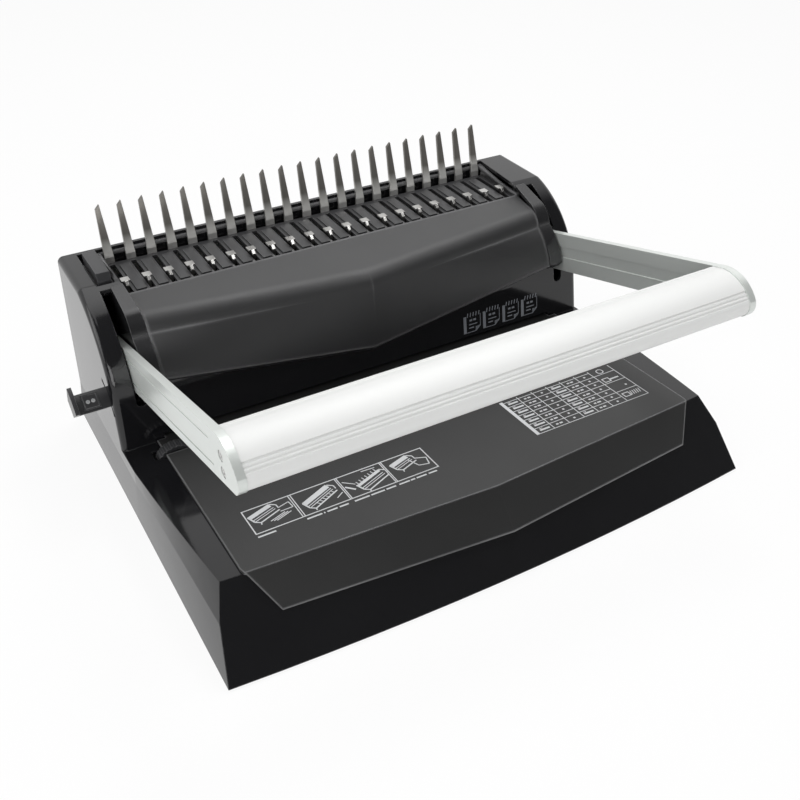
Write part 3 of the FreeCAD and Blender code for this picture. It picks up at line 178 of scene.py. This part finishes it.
# --- housing ------------------------------------------------------------------------------
# One moulding of high-gloss black ABS holds the base, both towers and the fascia. Its edges
# are softened by the tool, and handling leaves a faint haze in the polish.
def mottle(web, pattern, fineness, detail, contrast=0.5):
    """An uneven pattern, finer for a larger fineness."""
    noise = web.nodes.new("ShaderNodeTexNoise")
    noise.inputs["Scale"].default_value = fineness
    noise.inputs["Detail"].default_value = detail
    noise.inputs["Roughness"].default_value = contrast
    web.links.new(pattern, noise.inputs["Vector"])
    return noise.outputs["Fac"]


def mix_tones(web, share, first, second):
    """Mixes a second colour into a first one, which is a colour or a socket."""
    mixed = web.nodes.new("ShaderNodeMix")
    mixed.data_type = "RGBA"
    if isinstance(first, tuple):
        mixed.inputs["A"].default_value = (*first, 1.0)
    else:
        web.links.new(first, mixed.inputs["A"])
    mixed.inputs["B"].default_value = (*second, 1.0)
    web.links.new(share, mixed.inputs["Factor"])
    return mixed.outputs["Result"]


def surface(name, dark, light, rough, grain, depth, metal=0.0, haze=0.0, edge=0.0,
            stretch=(1.0, 1.0, 1.0), specular=0.5, edge_wear_and_highlight=None, edge_wear_and_highlight_share=0.5):
    """A finish whose colour drifts between two tones, with smears and fine relief.

    rough is the roughness, and haze is what the smears add to it. grain is the fineness of the
    relief and depth its height. edge is the radius of the soft edges, and stretch draws the
    pattern out along an axis. The last two arguments give the colour and the share of a
    lightening painted on the edges, partly wear from handling and partly a painted highlight
    along the rounded edges.
    """
    made = bpy.data.materials.new(name)
    made.use_nodes = True
    web = made.node_tree
    shader = web.nodes["Principled BSDF"]
    shader.inputs["Metallic"].default_value = metal
    shader.inputs["Specular IOR Level"].default_value = specular
    spot = web.nodes.new("ShaderNodeTexCoord")
    drawn = web.nodes.new("ShaderNodeMapping")
    drawn.inputs["Scale"].default_value = stretch
    web.links.new(spot.outputs["Object"], drawn.inputs["Vector"])
    pattern = drawn.outputs["Vector"]
    drift = mottle(web, pattern, fineness=26.0, detail=5.0)
    tone = mix_tones(web, drift, dark, light)
    web.links.new(tone, shader.inputs["Base Color"])
    smear = mottle(web, pattern, fineness=9.0, detail=8.0, contrast=0.65)
    gloss = ramp(web, smear, start=0.35, stop=0.7, low=rough, high=rough + haze)
    web.links.new(gloss, shader.inputs["Roughness"])
    relief = web.nodes.new("ShaderNodeBump")
    relief.inputs["Distance"].default_value = depth
    web.links.new(mottle(web, pattern, fineness=grain, detail=3.0), relief.inputs["Height"])
    web.links.new(relief.outputs["Normal"], shader.inputs["Normal"])
    if edge:
        soft = web.nodes.new("ShaderNodeBevel")
        soft.samples = 4
        soft.inputs["Radius"].default_value = edge
        web.links.new(soft.outputs["Normal"], relief.inputs["Normal"])
    # Lightens the edges: partly wear from handling, partly a painted highlight where rounded
    # edges catch the light.
    if edge and edge_wear_and_highlight:
        facing = web.nodes.new("ShaderNodeNewGeometry")
        turn = web.nodes.new("ShaderNodeVectorMath")
        turn.operation = "DOT_PRODUCT"
        web.links.new(soft.outputs["Normal"], turn.inputs[0])
        web.links.new(facing.outputs["Normal"], turn.inputs[1])
        edge_wear_and_highlight_mask = ramp(web, turn.outputs["Value"], start=0.9970, stop=0.96, high=edge_wear_and_highlight_share)
        wear_and_highlight_patches = combine(web, "MULTIPLY", edge_wear_and_highlight_mask, smear)
        web.links.new(mix_tones(web, wear_and_highlight_patches, tone, edge_wear_and_highlight), shader.inputs["Base Color"])
    return made


def dress(material, *names):
    """Gives CAD nodes one material."""
    for name in names:
        for holder in nodes[name].material_slots:
            holder.material = material


gloss_black = surface("high-gloss black ABS",
                      dark=(0.006, 0.006, 0.007), light=(0.009, 0.009, 0.010),
                      rough=0.07, grain=240.0, depth=0.00002, haze=0.09, edge=0.0007,
                      edge_wear_and_highlight=(0.060, 0.060, 0.062))
dress(gloss_black, "main_housing")

# --- hood ---------------------------------------------------------------------------------
# The hood is a separate moulding in dark grey ABS. Its tool is spark-eroded, which leaves a
# fine matt grain that hides finger marks. Its lip and wide bends carry a painted highlight,
# a pale edge colour that stands in for the light they catch.
grained_grey = surface("spark-grained dark grey ABS",
                       dark=(0.015, 0.015, 0.016), light=(0.021, 0.021, 0.022),
                       rough=0.44, grain=2600.0, depth=0.00010, haze=0.08, edge=0.0034,
                       specular=0.62, edge_wear_and_highlight=(0.46, 0.46, 0.47), edge_wear_and_highlight_share=0.9)
dress(grained_grey, "hood")

# --- document table -----------------------------------------------------------------------
# The document table is moulded with the same grain, a little darker. Its front and side edges
# are painted lighter, partly wear from sliding sheets and partly a painted highlight along them.
table_grey = surface("spark-grained table ABS",
                     dark=(0.013, 0.013, 0.013), light=(0.018, 0.018, 0.018),
                     rough=0.46, grain=2600.0, depth=0.00010, haze=0.08, edge=0.0014,
                     specular=0.48, edge_wear_and_highlight=(0.42, 0.42, 0.43), edge_wear_and_highlight_share=1.0)
dress(table_grey, "table_plate")

# --- comb well, edge guide and chip tray --------------------------------------------------
# The slotted floor of the comb well, the edge guide in the throat and the chip tray are satin
# black ABS mouldings, set into the housing from above, from inside and from behind.
satin_black = surface("satin black ABS",
                      dark=(0.030, 0.030, 0.032), light=(0.040, 0.040, 0.042),
                      rough=0.32, grain=1500.0, depth=0.00005, haze=0.08, edge=0.0005,
                      edge_wear_and_highlight=(0.20, 0.20, 0.20), edge_wear_and_highlight_share=0.8)
dress(satin_black, "slot_grille", "edge_guide", "chip_tray")

# --- hood end caps ------------------------------------------------------------------------
# A black ABS cap closes the hood at each end, beside the handle's arm. Its mould is polished,
# so that it is smoother than the hood and shinier than the comb well.
cap_black = surface("polished cap ABS",
                    dark=(0.010, 0.010, 0.011), light=(0.015, 0.015, 0.016),
                    rough=0.20, grain=900.0, depth=0.00003, haze=0.10, edge=0.0006, specular=0.7,
                    edge_wear_and_highlight=(0.16, 0.16, 0.16), edge_wear_and_highlight_share=0.8)
dress(cap_black, "hood_end_cap_left", "hood_end_cap_right")

# --- hooks --------------------------------------------------------------------------------
# The hooks that open the comb are bent up from one sheet, which slides with the rack under it.
# Both are steel with a bright nickel plate.
bright_plate = surface("bright nickel plate",
                       dark=(0.44, 0.435, 0.42), light=(0.58, 0.57, 0.555),
                       rough=0.26, grain=700.0, depth=0.00003, metal=1.0, haze=0.10, edge=0.0003,
                       edge_wear_and_highlight=(0.90, 0.89, 0.86))
dress(bright_plate, "hook_plate", "hook_rack")

# --- fingers ------------------------------------------------------------------------------
# The comb of fingers is blanked and bent from tempered strip. The strip is grey-brown from the
# furnace, and a pale band painted at each foot is a painted highlight on the bend.
foot_top = 0.133
foot_bend = 0.122
comb_steel = surface("tempered comb steel",
                     dark=(0.11, 0.105, 0.095), light=(0.21, 0.20, 0.185),
                     rough=0.28, grain=900.0, depth=0.00004, metal=0.85, haze=0.14,
                     stretch=(1.0, 1.0, 0.15), edge=0.0003)
web = comb_steel.node_tree
foot_spot = web.nodes.new("ShaderNodeTexCoord")
foot_split = web.nodes.new("ShaderNodeSeparateXYZ")
web.links.new(foot_spot.outputs["Object"], foot_split.inputs["Vector"])
foot_painted_highlight = ramp(web, foot_split.outputs["Z"], start=foot_top, stop=foot_bend)
finger_color = web.nodes["Principled BSDF"].inputs["Base Color"]
strip_tone = finger_color.links[0].from_socket
web.links.new(mix_tones(web, foot_painted_highlight, strip_tone, (0.86, 0.85, 0.82)), finger_color)
dress(comb_steel, "finger_plate")

# --- handle -------------------------------------------------------------------------------
# Two flat arms and a hollow grip are satin-anodised aluminium, drawn along the arms and along
# the grip. The grip is screwed between the arms.
grip_aluminium = surface("satin anodised grip",
                         dark=(0.74, 0.745, 0.735), light=(0.78, 0.785, 0.775),
                         rough=0.50, grain=1600.0, depth=0.00003, metal=0.10, haze=0.06,
                         stretch=(0.02, 1.0, 1.0), edge=0.0003, edge_wear_and_highlight=(0.90, 0.90, 0.89))
dress(grip_aluminium, "handle_grip")
arm_aluminium = surface("satin anodised arms",
                        dark=(0.66, 0.69, 0.665), light=(0.72, 0.75, 0.725),
                        rough=0.30, grain=1600.0, depth=0.00004, metal=0.45, haze=0.08,
                        stretch=(1.0, 0.05, 1.0), edge=0.0003, edge_wear_and_highlight=(0.88, 0.89, 0.88))
dress(arm_aluminium, "handle_arm_left", "handle_arm_right")

# --- plates and screws --------------------------------------------------------------------
# The bottom plate and the inner frame are zinc-plated steel sheet, bar and rod, held together
# by zinc-plated screws.
zinc = surface("bright zinc plate",
               dark=(0.50, 0.50, 0.49), light=(0.62, 0.62, 0.61),
               rough=0.26, grain=900.0, depth=0.00003, metal=1.0, haze=0.12, edge=0.0003,
               edge_wear_and_highlight=(0.80, 0.80, 0.79))
dress(zinc, "base_screws", "frame_screws", "finger_screws", "plate_screws", "grip_screws",
      "hub_screws", "bottom_plate", "side_plate_left", "side_plate_right", "finger_rail",
      "lever_bracket", "tie_rods", "back_stop")

# --- feet ---------------------------------------------------------------------------------
# Four tapered feet of soft black rubber are bonded under the bottom plate, so that the machine
# doesn't slide when the handle is pulled.
foot_rubber = surface("foot rubber",
                      dark=(0.018, 0.018, 0.018), light=(0.028, 0.028, 0.027),
                      rough=0.72, grain=1200.0, depth=0.0001, haze=0.1)
dress(foot_rubber, "rubber_feet")

# --- grip screws --------------------------------------------------------------------------
# Two zinc-plated cheese-head screws with a cross recess pass through each arm into the grip
# and sit in counterbores. One is modelled and the others are copies of it.
joints = {joint["name"]: joint for joint in frame["joints"]}
middle_x = joints["handle_hinge"]["pos_m"][0]
lowest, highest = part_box("grip_screws")
head_radius = 0.0028
head_depth = 0.0014
head_rim = 0.00022
stem_step = 0.0013
stem_long = 0.0156
recess_long = 0.0036
recess_wide = 0.0008
recess_deep = 0.0009
face_x = lowest[0]
upper_y = highest[1] - head_radius
upper_z = highest[2] - head_radius
level = (0.0, 0.0, 0.0)
lower = (0.0, lowest[1] + head_radius - upper_y, lowest[2] + head_radius - upper_z)
bpy.ops.object.select_all(action="DESELECT")
bpy.ops.mesh.primitive_cylinder_add(vertices=32, radius=head_radius, depth=head_depth,
                                    location=(face_x + head_depth / 2, upper_y, upper_z),
                                    rotation=(0, math.radians(90), 0))
first_screw = bpy.context.object
first_screw.name = "grip_cross_screws"
bpy.ops.object.transform_apply(location=True, rotation=True, scale=True)
bpy.ops.object.mode_set(mode="EDIT")
bpy.ops.mesh.select_mode(type="FACE")
bpy.ops.mesh.select_all(action="DESELECT")
bpy.ops.object.mode_set(mode="OBJECT")
for face in first_screw.data.polygons:
    face.select = face.normal.x > 0.9
bpy.ops.object.mode_set(mode="EDIT")
bpy.ops.mesh.inset(thickness=stem_step)
bpy.ops.mesh.extrude_region_move(TRANSFORM_OT_translate={"value": (stem_long, 0, 0)})
bpy.ops.object.mode_set(mode="OBJECT")
bpy.ops.mesh.primitive_cube_add(size=1.0, location=(face_x, upper_y, upper_z),
                                scale=(2 * recess_deep, recess_long, recess_wide))
slot_cutter = bpy.context.object
bpy.ops.object.mode_set(mode="EDIT")
bpy.ops.mesh.primitive_cube_add(size=1.0, location=(face_x, upper_y, upper_z),
                                scale=(2 * recess_deep, recess_wide, recess_long))
bpy.ops.object.mode_set(mode="OBJECT")
bpy.context.view_layer.objects.active = first_screw
recess = first_screw.modifiers.new("cross recess", "BOOLEAN")
recess.operation = "DIFFERENCE"
recess.solver = "EXACT"
recess.use_self = True
recess.object = slot_cutter
bpy.ops.object.modifier_apply(modifier=recess.name)
rim = first_screw.modifiers.new("rolled rim", "BEVEL")
rim.width = head_rim
rim.segments = 2
rim.limit_method = "ANGLE"
rim.angle_limit = math.radians(60)
bpy.ops.object.modifier_apply(modifier=rim.name)
bpy.data.objects.remove(slot_cutter, do_unlink=True)
screws = [first_screw]
for turned, shift in ((False, lower), (True, level), (True, lower)):
    twin = first_screw.copy()
    twin.data = first_screw.data.copy()
    bpy.context.collection.objects.link(twin)
    bpy.ops.object.select_all(action="DESELECT")
    twin.select_set(True)
    bpy.context.view_layer.objects.active = twin
    twin.location = shift
    if turned:
        twin.rotation_euler = (0, 0, math.pi)
        twin.location = (2 * middle_x, 2 * upper_y + shift[1], shift[2])
    bpy.ops.object.transform_apply(location=True, rotation=True, scale=True)
    screws.append(twin)
bpy.ops.object.select_all(action="DESELECT")
for screw in screws:
    screw.select_set(True)
bpy.context.view_layer.objects.active = first_screw
bpy.ops.object.join()
bpy.ops.object.shade_smooth_by_angle(angle=math.radians(35))
first_screw.data.materials.clear()
first_screw.data.materials.append(zinc)
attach(first_screw, "handle_crank")
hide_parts("grip_screws")

# --- controls -----------------------------------------------------------------------------
# The depth lever, the comb size slider and the thumb wheel are satin black ABS mouldings, which
# fingertips keep polished.
control_black = surface("handled black ABS",
                        dark=(0.022, 0.022, 0.024), light=(0.034, 0.034, 0.036),
                        rough=0.26, grain=900.0, depth=0.00004, haze=0.12, edge=0.0006,
                        edge_wear_and_highlight=(0.16, 0.16, 0.165), edge_wear_and_highlight_share=0.9)
dress(control_black, "depth_lever", "comb_size_slider", "edge_wheel")

# --- lever thumb pad ----------------------------------------------------------------------
# A square pad with a dished middle is moulded on the lever's paddle, where the thumb pushes.
# It stands on the paddle's crown, square to the line from the lever's pivot.
pivot_y, pivot_z = joints["depth_hinge"]["pos_m"][1:]
lever_angle = math.radians(129.3)
pad_lean = lever_angle - math.pi / 2
pad_x = -0.1777
pad_foot = 0.0293
pad_side = 0.0104
pad_rise = 0.0011
pad_rim = 0.0011
dish_depth = 0.00035
pad_edge = 0.0003


def on_lever(distance):
    """A place on the lever's middle line, at a distance from its pivot."""
    return (pad_x, pivot_y + distance * math.cos(lever_angle),
            pivot_z + distance * math.sin(lever_angle))


bpy.ops.object.select_all(action="DESELECT")
bpy.ops.mesh.primitive_plane_add(size=pad_side, location=(0, 0, 0))
thumb_pad = bpy.context.object
thumb_pad.name = "lever_thumb_pad"
bpy.ops.object.mode_set(mode="EDIT")
bpy.ops.mesh.select_all(action="SELECT")
bpy.ops.mesh.extrude_region_move(TRANSFORM_OT_translate={"value": (0, 0, pad_rise)})
bpy.ops.mesh.inset(thickness=pad_rim)
bpy.ops.mesh.extrude_region_move(TRANSFORM_OT_translate={"value": (0, 0, -dish_depth)})
bpy.ops.mesh.select_all(action="SELECT")
bpy.ops.mesh.normals_make_consistent(inside=False)
bpy.ops.object.mode_set(mode="OBJECT")
pad_round = thumb_pad.modifiers.new("moulded edges", "BEVEL")
pad_round.width = pad_edge
pad_round.segments = 2
bpy.ops.object.modifier_apply(modifier=pad_round.name)
thumb_pad.rotation_euler = (pad_lean, 0, 0)
thumb_pad.location = on_lever(pad_foot)
bpy.ops.object.transform_apply(location=True, rotation=True, scale=True)
thumb_pad.data.materials.append(control_black)
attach(thumb_pad, "depth_control")

# --- screen print -------------------------------------------------------------------------
# White ink is pulled through a screen onto the finished mouldings, a few hundredths of a
# millimetre thick, and is slightly grey where the film is thin. Drawings are in millimetres.
screen_ink = surface("white screen ink",
                     dark=(0.50, 0.51, 0.52), light=(0.70, 0.71, 0.72),
                     rough=0.55, grain=3000.0, depth=0.00002, haze=0.15)
ink_film = 0.00006
mm = 0.001


def ink_bar(marks, x0, y0, x1, y1, width=0.75):
    """A straight printed stroke between two points of a drawing."""
    bpy.ops.mesh.primitive_plane_add(size=mm,
                                     location=((x0 + x1) / 2 * mm, (y0 + y1) / 2 * mm, 0),
                                     rotation=(0, 0, math.atan2(y1 - y0, x1 - x0)))
    stroke = bpy.context.object
    stroke.scale = (math.hypot(x1 - x0, y1 - y0), width, 1.0)
    marks.append(stroke)


def ink_frame(marks, x0, y0, x1, y1, width=0.75):
    """A printed box whose strokes meet at the corners."""
    half = width / 2
    ink_bar(marks, x0 - half, y0, x1 + half, y0, width)
    ink_bar(marks, x0 - half, y1, x1 + half, y1, width)
    ink_bar(marks, x0, y0 + half, x0, y1 - half, width)
    ink_bar(marks, x1, y0 + half, x1, y1 - half, width)


def pull_print(name, marks, place, lean, ink, body="frame"):
    """Joins the strokes, gives the ink its film and lays the drawing on its leaning face."""
    bpy.ops.object.select_all(action="DESELECT")
    for stroke in marks:
        stroke.select_set(True)
    sheet = marks[0]
    bpy.context.view_layer.objects.active = sheet
    bpy.ops.object.join()
    sheet.name = name
    bpy.ops.object.transform_apply(location=True, rotation=True, scale=True)
    bpy.ops.object.mode_set(mode="EDIT")
    bpy.ops.mesh.select_all(action="SELECT")
    bpy.ops.mesh.extrude_region_move(TRANSFORM_OT_translate={"value": (0, 0, ink_film)})
    bpy.ops.mesh.select_all(action="SELECT")
    bpy.ops.mesh.normals_make_consistent(inside=False)
    bpy.ops.object.mode_set(mode="OBJECT")
    sheet.rotation_euler = (lean, 0, 0)
    sheet.location = place
    bpy.ops.object.transform_apply(location=True, rotation=True, scale=True)
    sheet.data.materials.clear()
    sheet.data.materials.append(ink)
    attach(sheet, body)


# --- picture strip ------------------------------------------------------------------------
# Four line drawings in a row on the document table show a press like this one at work: punch
# the sheets, open the comb, hang the sheets on it, close it. It is screen-printed.
def press_sketch(marks, x, y, run, rise, fat=3.0):
    """A small press seen from its corner, whose hood rises to the right."""
    end_x, end_y = x + run, y + rise
    ink_bar(marks, x, y, end_x, end_y, fat)
    ink_bar(marks, x - 0.6, y + 1.2, x + 1.6, y - 4.6, 1.0)
    ink_bar(marks, end_x, end_y + 0.9, end_x + 3.2, end_y - 1.4, 0.8)
    ink_bar(marks, end_x + 3.2, end_y - 1.4, end_x + 3.4, end_y - 4.6, 0.7)
    for step in (2.9, 4.4):
        ink_bar(marks, x + 0.5 * step, y - step, end_x + 0.35 * step, end_y - step, 0.55)
    ink_bar(marks, x + 1.6, y - 4.6, x + 4.6, y - 6.6, 0.8)
    ink_bar(marks, x + 4.6, y - 6.6, end_x + 3.4, end_y - 6.4, 0.9)
    ink_bar(marks, x + 4.6, y - 6.6, x + 4.2, y - 8.4, 0.7)


strip = []
strip_foot = 55.1
strip_top = 77.0
caption_y = 52.2
ink_frame(strip, -137.0, strip_foot, -19.6, strip_top, 0.7)
for line_x in (-108.5, -107.1, -78.5, -77.4, -48.5, -47.4):
    ink_bar(strip, line_x, strip_foot + 0.3, line_x, strip_top - 0.3, 0.6)
for start_x, end_x in ((-137.1, -126.4), (-107.4, -98.1), (-97.0, -96.2), (-94.9, -88.5),
                       (-87.1, -81.4), (-77.4, -67.8), (-66.7, -57.8), (-56.7, -50.3),
                       (-48.1, -41.0), (-40.3, -37.4), (-36.4, -29.6), (-28.1, -22.4)):
    ink_bar(strip, start_x, caption_y, end_x, caption_y, 1.15)
# A stack of sheets goes under the hood.
press_sketch(strip, -135.2, 69.6, 14.6, 5.0)
for step in (0.0, 1.7, 3.4):
    ink_bar(strip, -125.6 + step, 61.2 - step / 3, -115.4 + step, 64.8 - step / 3, 0.6)
ink_bar(strip, -117.0, 70.2, -110.2, 72.0, 0.6)
ink_bar(strip, -110.2, 72.0, -109.6, 66.6, 0.6)
ink_bar(strip, -117.4, 66.4, -109.6, 66.6, 0.6)
# The handle opens the comb.
press_sketch(strip, -103.4, 64.8, 18.6, 8.4, 3.6)
for step in range(6):
    ink_bar(strip, -96.4 + 2.3 * step, 62.2 + 1.02 * step, -95.0 + 2.3 * step,
            60.6 + 1.02 * step, 0.5)
ink_bar(strip, -84.4, 60.2, -79.6, 63.4, 0.6)
# The punched sheets are hung on its rings.
press_sketch(strip, -69.2, 63.6, 17.6, 7.0, 2.2)
for step in range(7):
    ink_bar(strip, -68.0 + 2.4 * step, 64.8 + 0.95 * step, -68.8 + 2.4 * step,
            67.6 + 0.95 * step, 0.5)
ink_bar(strip, -76.0, 71.6, -69.8, 66.0, 0.6)
ink_bar(strip, -76.4, 66.6, -71.8, 61.6, 1.2)
ink_bar(strip, -61.6, 75.0, -52.8, 74.4, 0.6)
# The comb is closed and the book taken off.
press_sketch(strip, -43.6, 69.8, 12.6, 4.2, 3.4)
ink_bar(strip, -31.8, 70.2, -28.8, 62.2, 0.7)
ink_bar(strip, -28.8, 62.2, -22.6, 60.6, 0.7)
ink_bar(strip, -22.6, 60.6, -21.2, 67.0, 0.7)
ink_bar(strip, -21.2, 67.0, -27.4, 69.6, 0.7)
table_fall = 0.056
table_front = (middle_x, -0.135524, 0.049233)
table_lean = -math.atan(table_fall)
pull_print("table_picture_strip", strip, table_front, table_lean, screen_ink)

# --- size table ---------------------------------------------------------------------------
# A ruled table of comb sizes is screen-printed on the right of the document table. Its cells
# hold short bars and dots in place of words and figures.
ruled = []
word_rise = 2.9
note_rise = 4.5
ink_bar(ruled, 50.7, 50.0, 50.7, 92.0, 2.4)
for line_x in (63.3, 75.0, 86.9, 98.4, 110.4, 122.2, 139.7):
    ink_bar(ruled, line_x, 50.3, line_x, 92.0, 0.55)
row_lines = (50.3, 56.2, 61.8, 67.4, 73.4, 79.0, 84.7, 90.3)
for line_y in row_lines:
    ink_bar(ruled, 51.9, line_y, 122.2, line_y, 0.5)
for line_y in (50.3, 61.8, 73.4, 84.7):
    ink_bar(ruled, 122.2, line_y, 139.9, line_y, 0.5)
for row, line_y in enumerate(row_lines[:-1]):
    for left in (52.0, 86.9):
        word_end = left + 9.4 + 0.6 * (row % 2)
        ink_bar(ruled, left + 2.0, line_y + word_rise, word_end, line_y + word_rise, 1.5)
        ink_bar(ruled, left + 2.4, line_y + note_rise, left + 4.6, line_y + note_rise, 0.5)
    for left in (63.3, 98.4):
        word_end = left + 8.2 + 0.5 * (row % 2)
        ink_bar(ruled, left + 3.2, line_y + word_rise, left + 5.0, line_y + word_rise, 1.3)
        ink_bar(ruled, left + 5.9, line_y + word_rise, word_end, line_y + word_rise, 1.3)
    for left in (75.0, 110.4):
        ink_bar(ruled, left + 5.2, line_y + word_rise, left + 6.6, line_y + word_rise, 1.4)
ink_frame(ruled, 124.6, 75.2, 129.4, 79.4, 0.7)
ink_bar(ruled, 129.4, 77.0, 136.8, 77.0, 1.3)
ink_bar(ruled, 133.8, 66.5, 135.2, 66.5, 1.4)
ink_frame(ruled, 124.4, 54.6, 129.2, 58.6, 0.7)
for step in range(5):
    ink_bar(ruled, 130.0 + 1.7 * step, 54.4, 131.2 + 1.7 * step, 58.8, 0.6)
ring_x = 130.0
ring_y = 88.3
ring_radius = 2.4
ring_turn = math.radians(30)
for side in range(12):
    start = ring_turn * side
    stop = ring_turn * (side + 1)
    ink_bar(ruled, ring_x + ring_radius * math.cos(start), ring_y + ring_radius * math.sin(start),
            ring_x + ring_radius * math.cos(stop), ring_y + ring_radius * math.sin(stop), 0.7)
pull_print("table_size_grid", ruled, table_front, table_lean, screen_ink)

# --- page icons ---------------------------------------------------------------------------
# Four small bound pages are printed on the fascia under the hood. Each has its comb loops on
# top, a grey binding edge, a few bars and a turned-up corner.
pages = []
page_foot = 45.6
for left in (75.2, 91.8, 108.8, 125.5):
    ink_bar(pages, left + 1.3, page_foot, left + 1.3, 58.4, 2.4)
    ink_bar(pages, left, 45.5, left + 10.4, 45.5, 0.5)
    ink_bar(pages, left + 14.4, 49.4, left + 14.4, 58.2, 0.5)
    for loop in range(5):
        ink_bar(pages, left + 3.4 + 2.4 * loop, 57.4, left + 4.0 + 2.4 * loop, 60.6, 0.8)
    ink_bar(pages, left + 5.2, 54.6, left + 7.4, 54.6, 1.5)
    ink_bar(pages, left + 8.4, 54.6, left + 10.8, 54.6, 1.5)
    ink_bar(pages, left + 4.6, 51.4, left + 11.8, 51.4, 0.7)
    ink_bar(pages, left + 4.6, 48.8, left + 8.8, 48.8, 0.9)
    for fold in range(4):
        ink_bar(pages, left + 10.4, page_foot + 0.95 * fold, left + 14.4 - 1.05 * fold,
                page_foot + 3.6 - 0.30 * fold, 0.95)
grey_ink = surface("grey screen ink",
                   dark=(0.13, 0.14, 0.16), light=(0.23, 0.24, 0.26),
                   rough=0.55, grain=3000.0, depth=0.00002, haze=0.15)
fascia_rise = 40.8
fascia_back = 6.1
fascia_foot = (middle_x, 0.031413, 0.0)
fascia_lean = math.atan2(fascia_rise, fascia_back)
pull_print("fascia_page_icons", pages, fascia_foot, fascia_lean, grey_ink)

# --- lever mark ---------------------------------------------------------------------------
# Two dots are printed in the dish of the thumb pad with the same white ink. Each is three
# crossed strokes, which makes a six-sided spot.
dots = []
dot_radius = 1.15
dot_stroke = 1.33
ink_sink = 0.000005
for middle in (-1.6, 1.6):
    for side in range(3):
        tilt = math.radians(60 * side)
        reach_x = dot_radius * math.cos(tilt)
        reach_y = dot_radius * math.sin(tilt)
        ink_bar(dots, middle - reach_x, -reach_y, middle + reach_x, reach_y, dot_stroke)
pull_print("lever_dots", dots, on_lever(pad_foot + pad_rise - dish_depth - ink_sink),
           pad_lean, screen_ink, body="depth_control")

# --- drive and punches --------------------------------------------------------------------
# Shaft, gear, cams, beam, pins and dies are ground tool steel with a film of oil. They run
# behind the covers and show only through the comb well and the slots.
tool_steel = surface("oiled tool steel",
                     dark=(0.34, 0.34, 0.35), light=(0.46, 0.46, 0.47),
                     rough=0.22, grain=1100.0, depth=0.00003, metal=1.0, haze=0.12)
dress(tool_steel, "main_shaft", "sector_gear", "punch_cams", "punch_beam", "punch_pins",
      "die_plate", "punch_guide_plate", "return_springs")

# --- beam springs -------------------------------------------------------------------------
# Two tension springs of music wire hang from the front tie rod and lift the punch beam. Their
# hooks stay on the rod.
beam_springs = bpy.data.objects.new("beam_springs", nodes["return_springs"].data.copy())
bpy.context.collection.objects.link(beam_springs)
bpy.ops.object.select_all(action="DESELECT")
beam_springs.select_set(True)
bpy.context.view_layer.objects.active = beam_springs
bpy.ops.object.mode_set(mode="EDIT")
bpy.ops.mesh.select_all(action="SELECT")
bpy.ops.mesh.remove_doubles(threshold=0.000001)
bpy.ops.mesh.normals_make_consistent(inside=False)
bpy.ops.object.mode_set(mode="OBJECT")
bpy.ops.object.shade_smooth_by_angle(angle=math.radians(60))
spring_wire = surface("music wire",
                      dark=(0.36, 0.36, 0.37), light=(0.50, 0.50, 0.51),
                      rough=0.20, grain=1100.0, depth=0.00002, metal=1.0, haze=0.12)
beam_springs.data.materials.clear()
beam_springs.data.materials.append(spring_wire)
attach(beam_springs, "frame")
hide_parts("return_springs")
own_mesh(beam_springs)

# --- bushings -----------------------------------------------------------------------------
# The shaft turns in two flanged bushings. They are turned from bronze, pressed into the side
# plates and kept oiled.
bronze = surface("oiled bronze",
                 dark=(0.46, 0.30, 0.14), light=(0.58, 0.40, 0.20),
                 rough=0.30, grain=1100.0, depth=0.00005, metal=1.0, haze=0.12)
dress(bronze, "shaft_bushings")
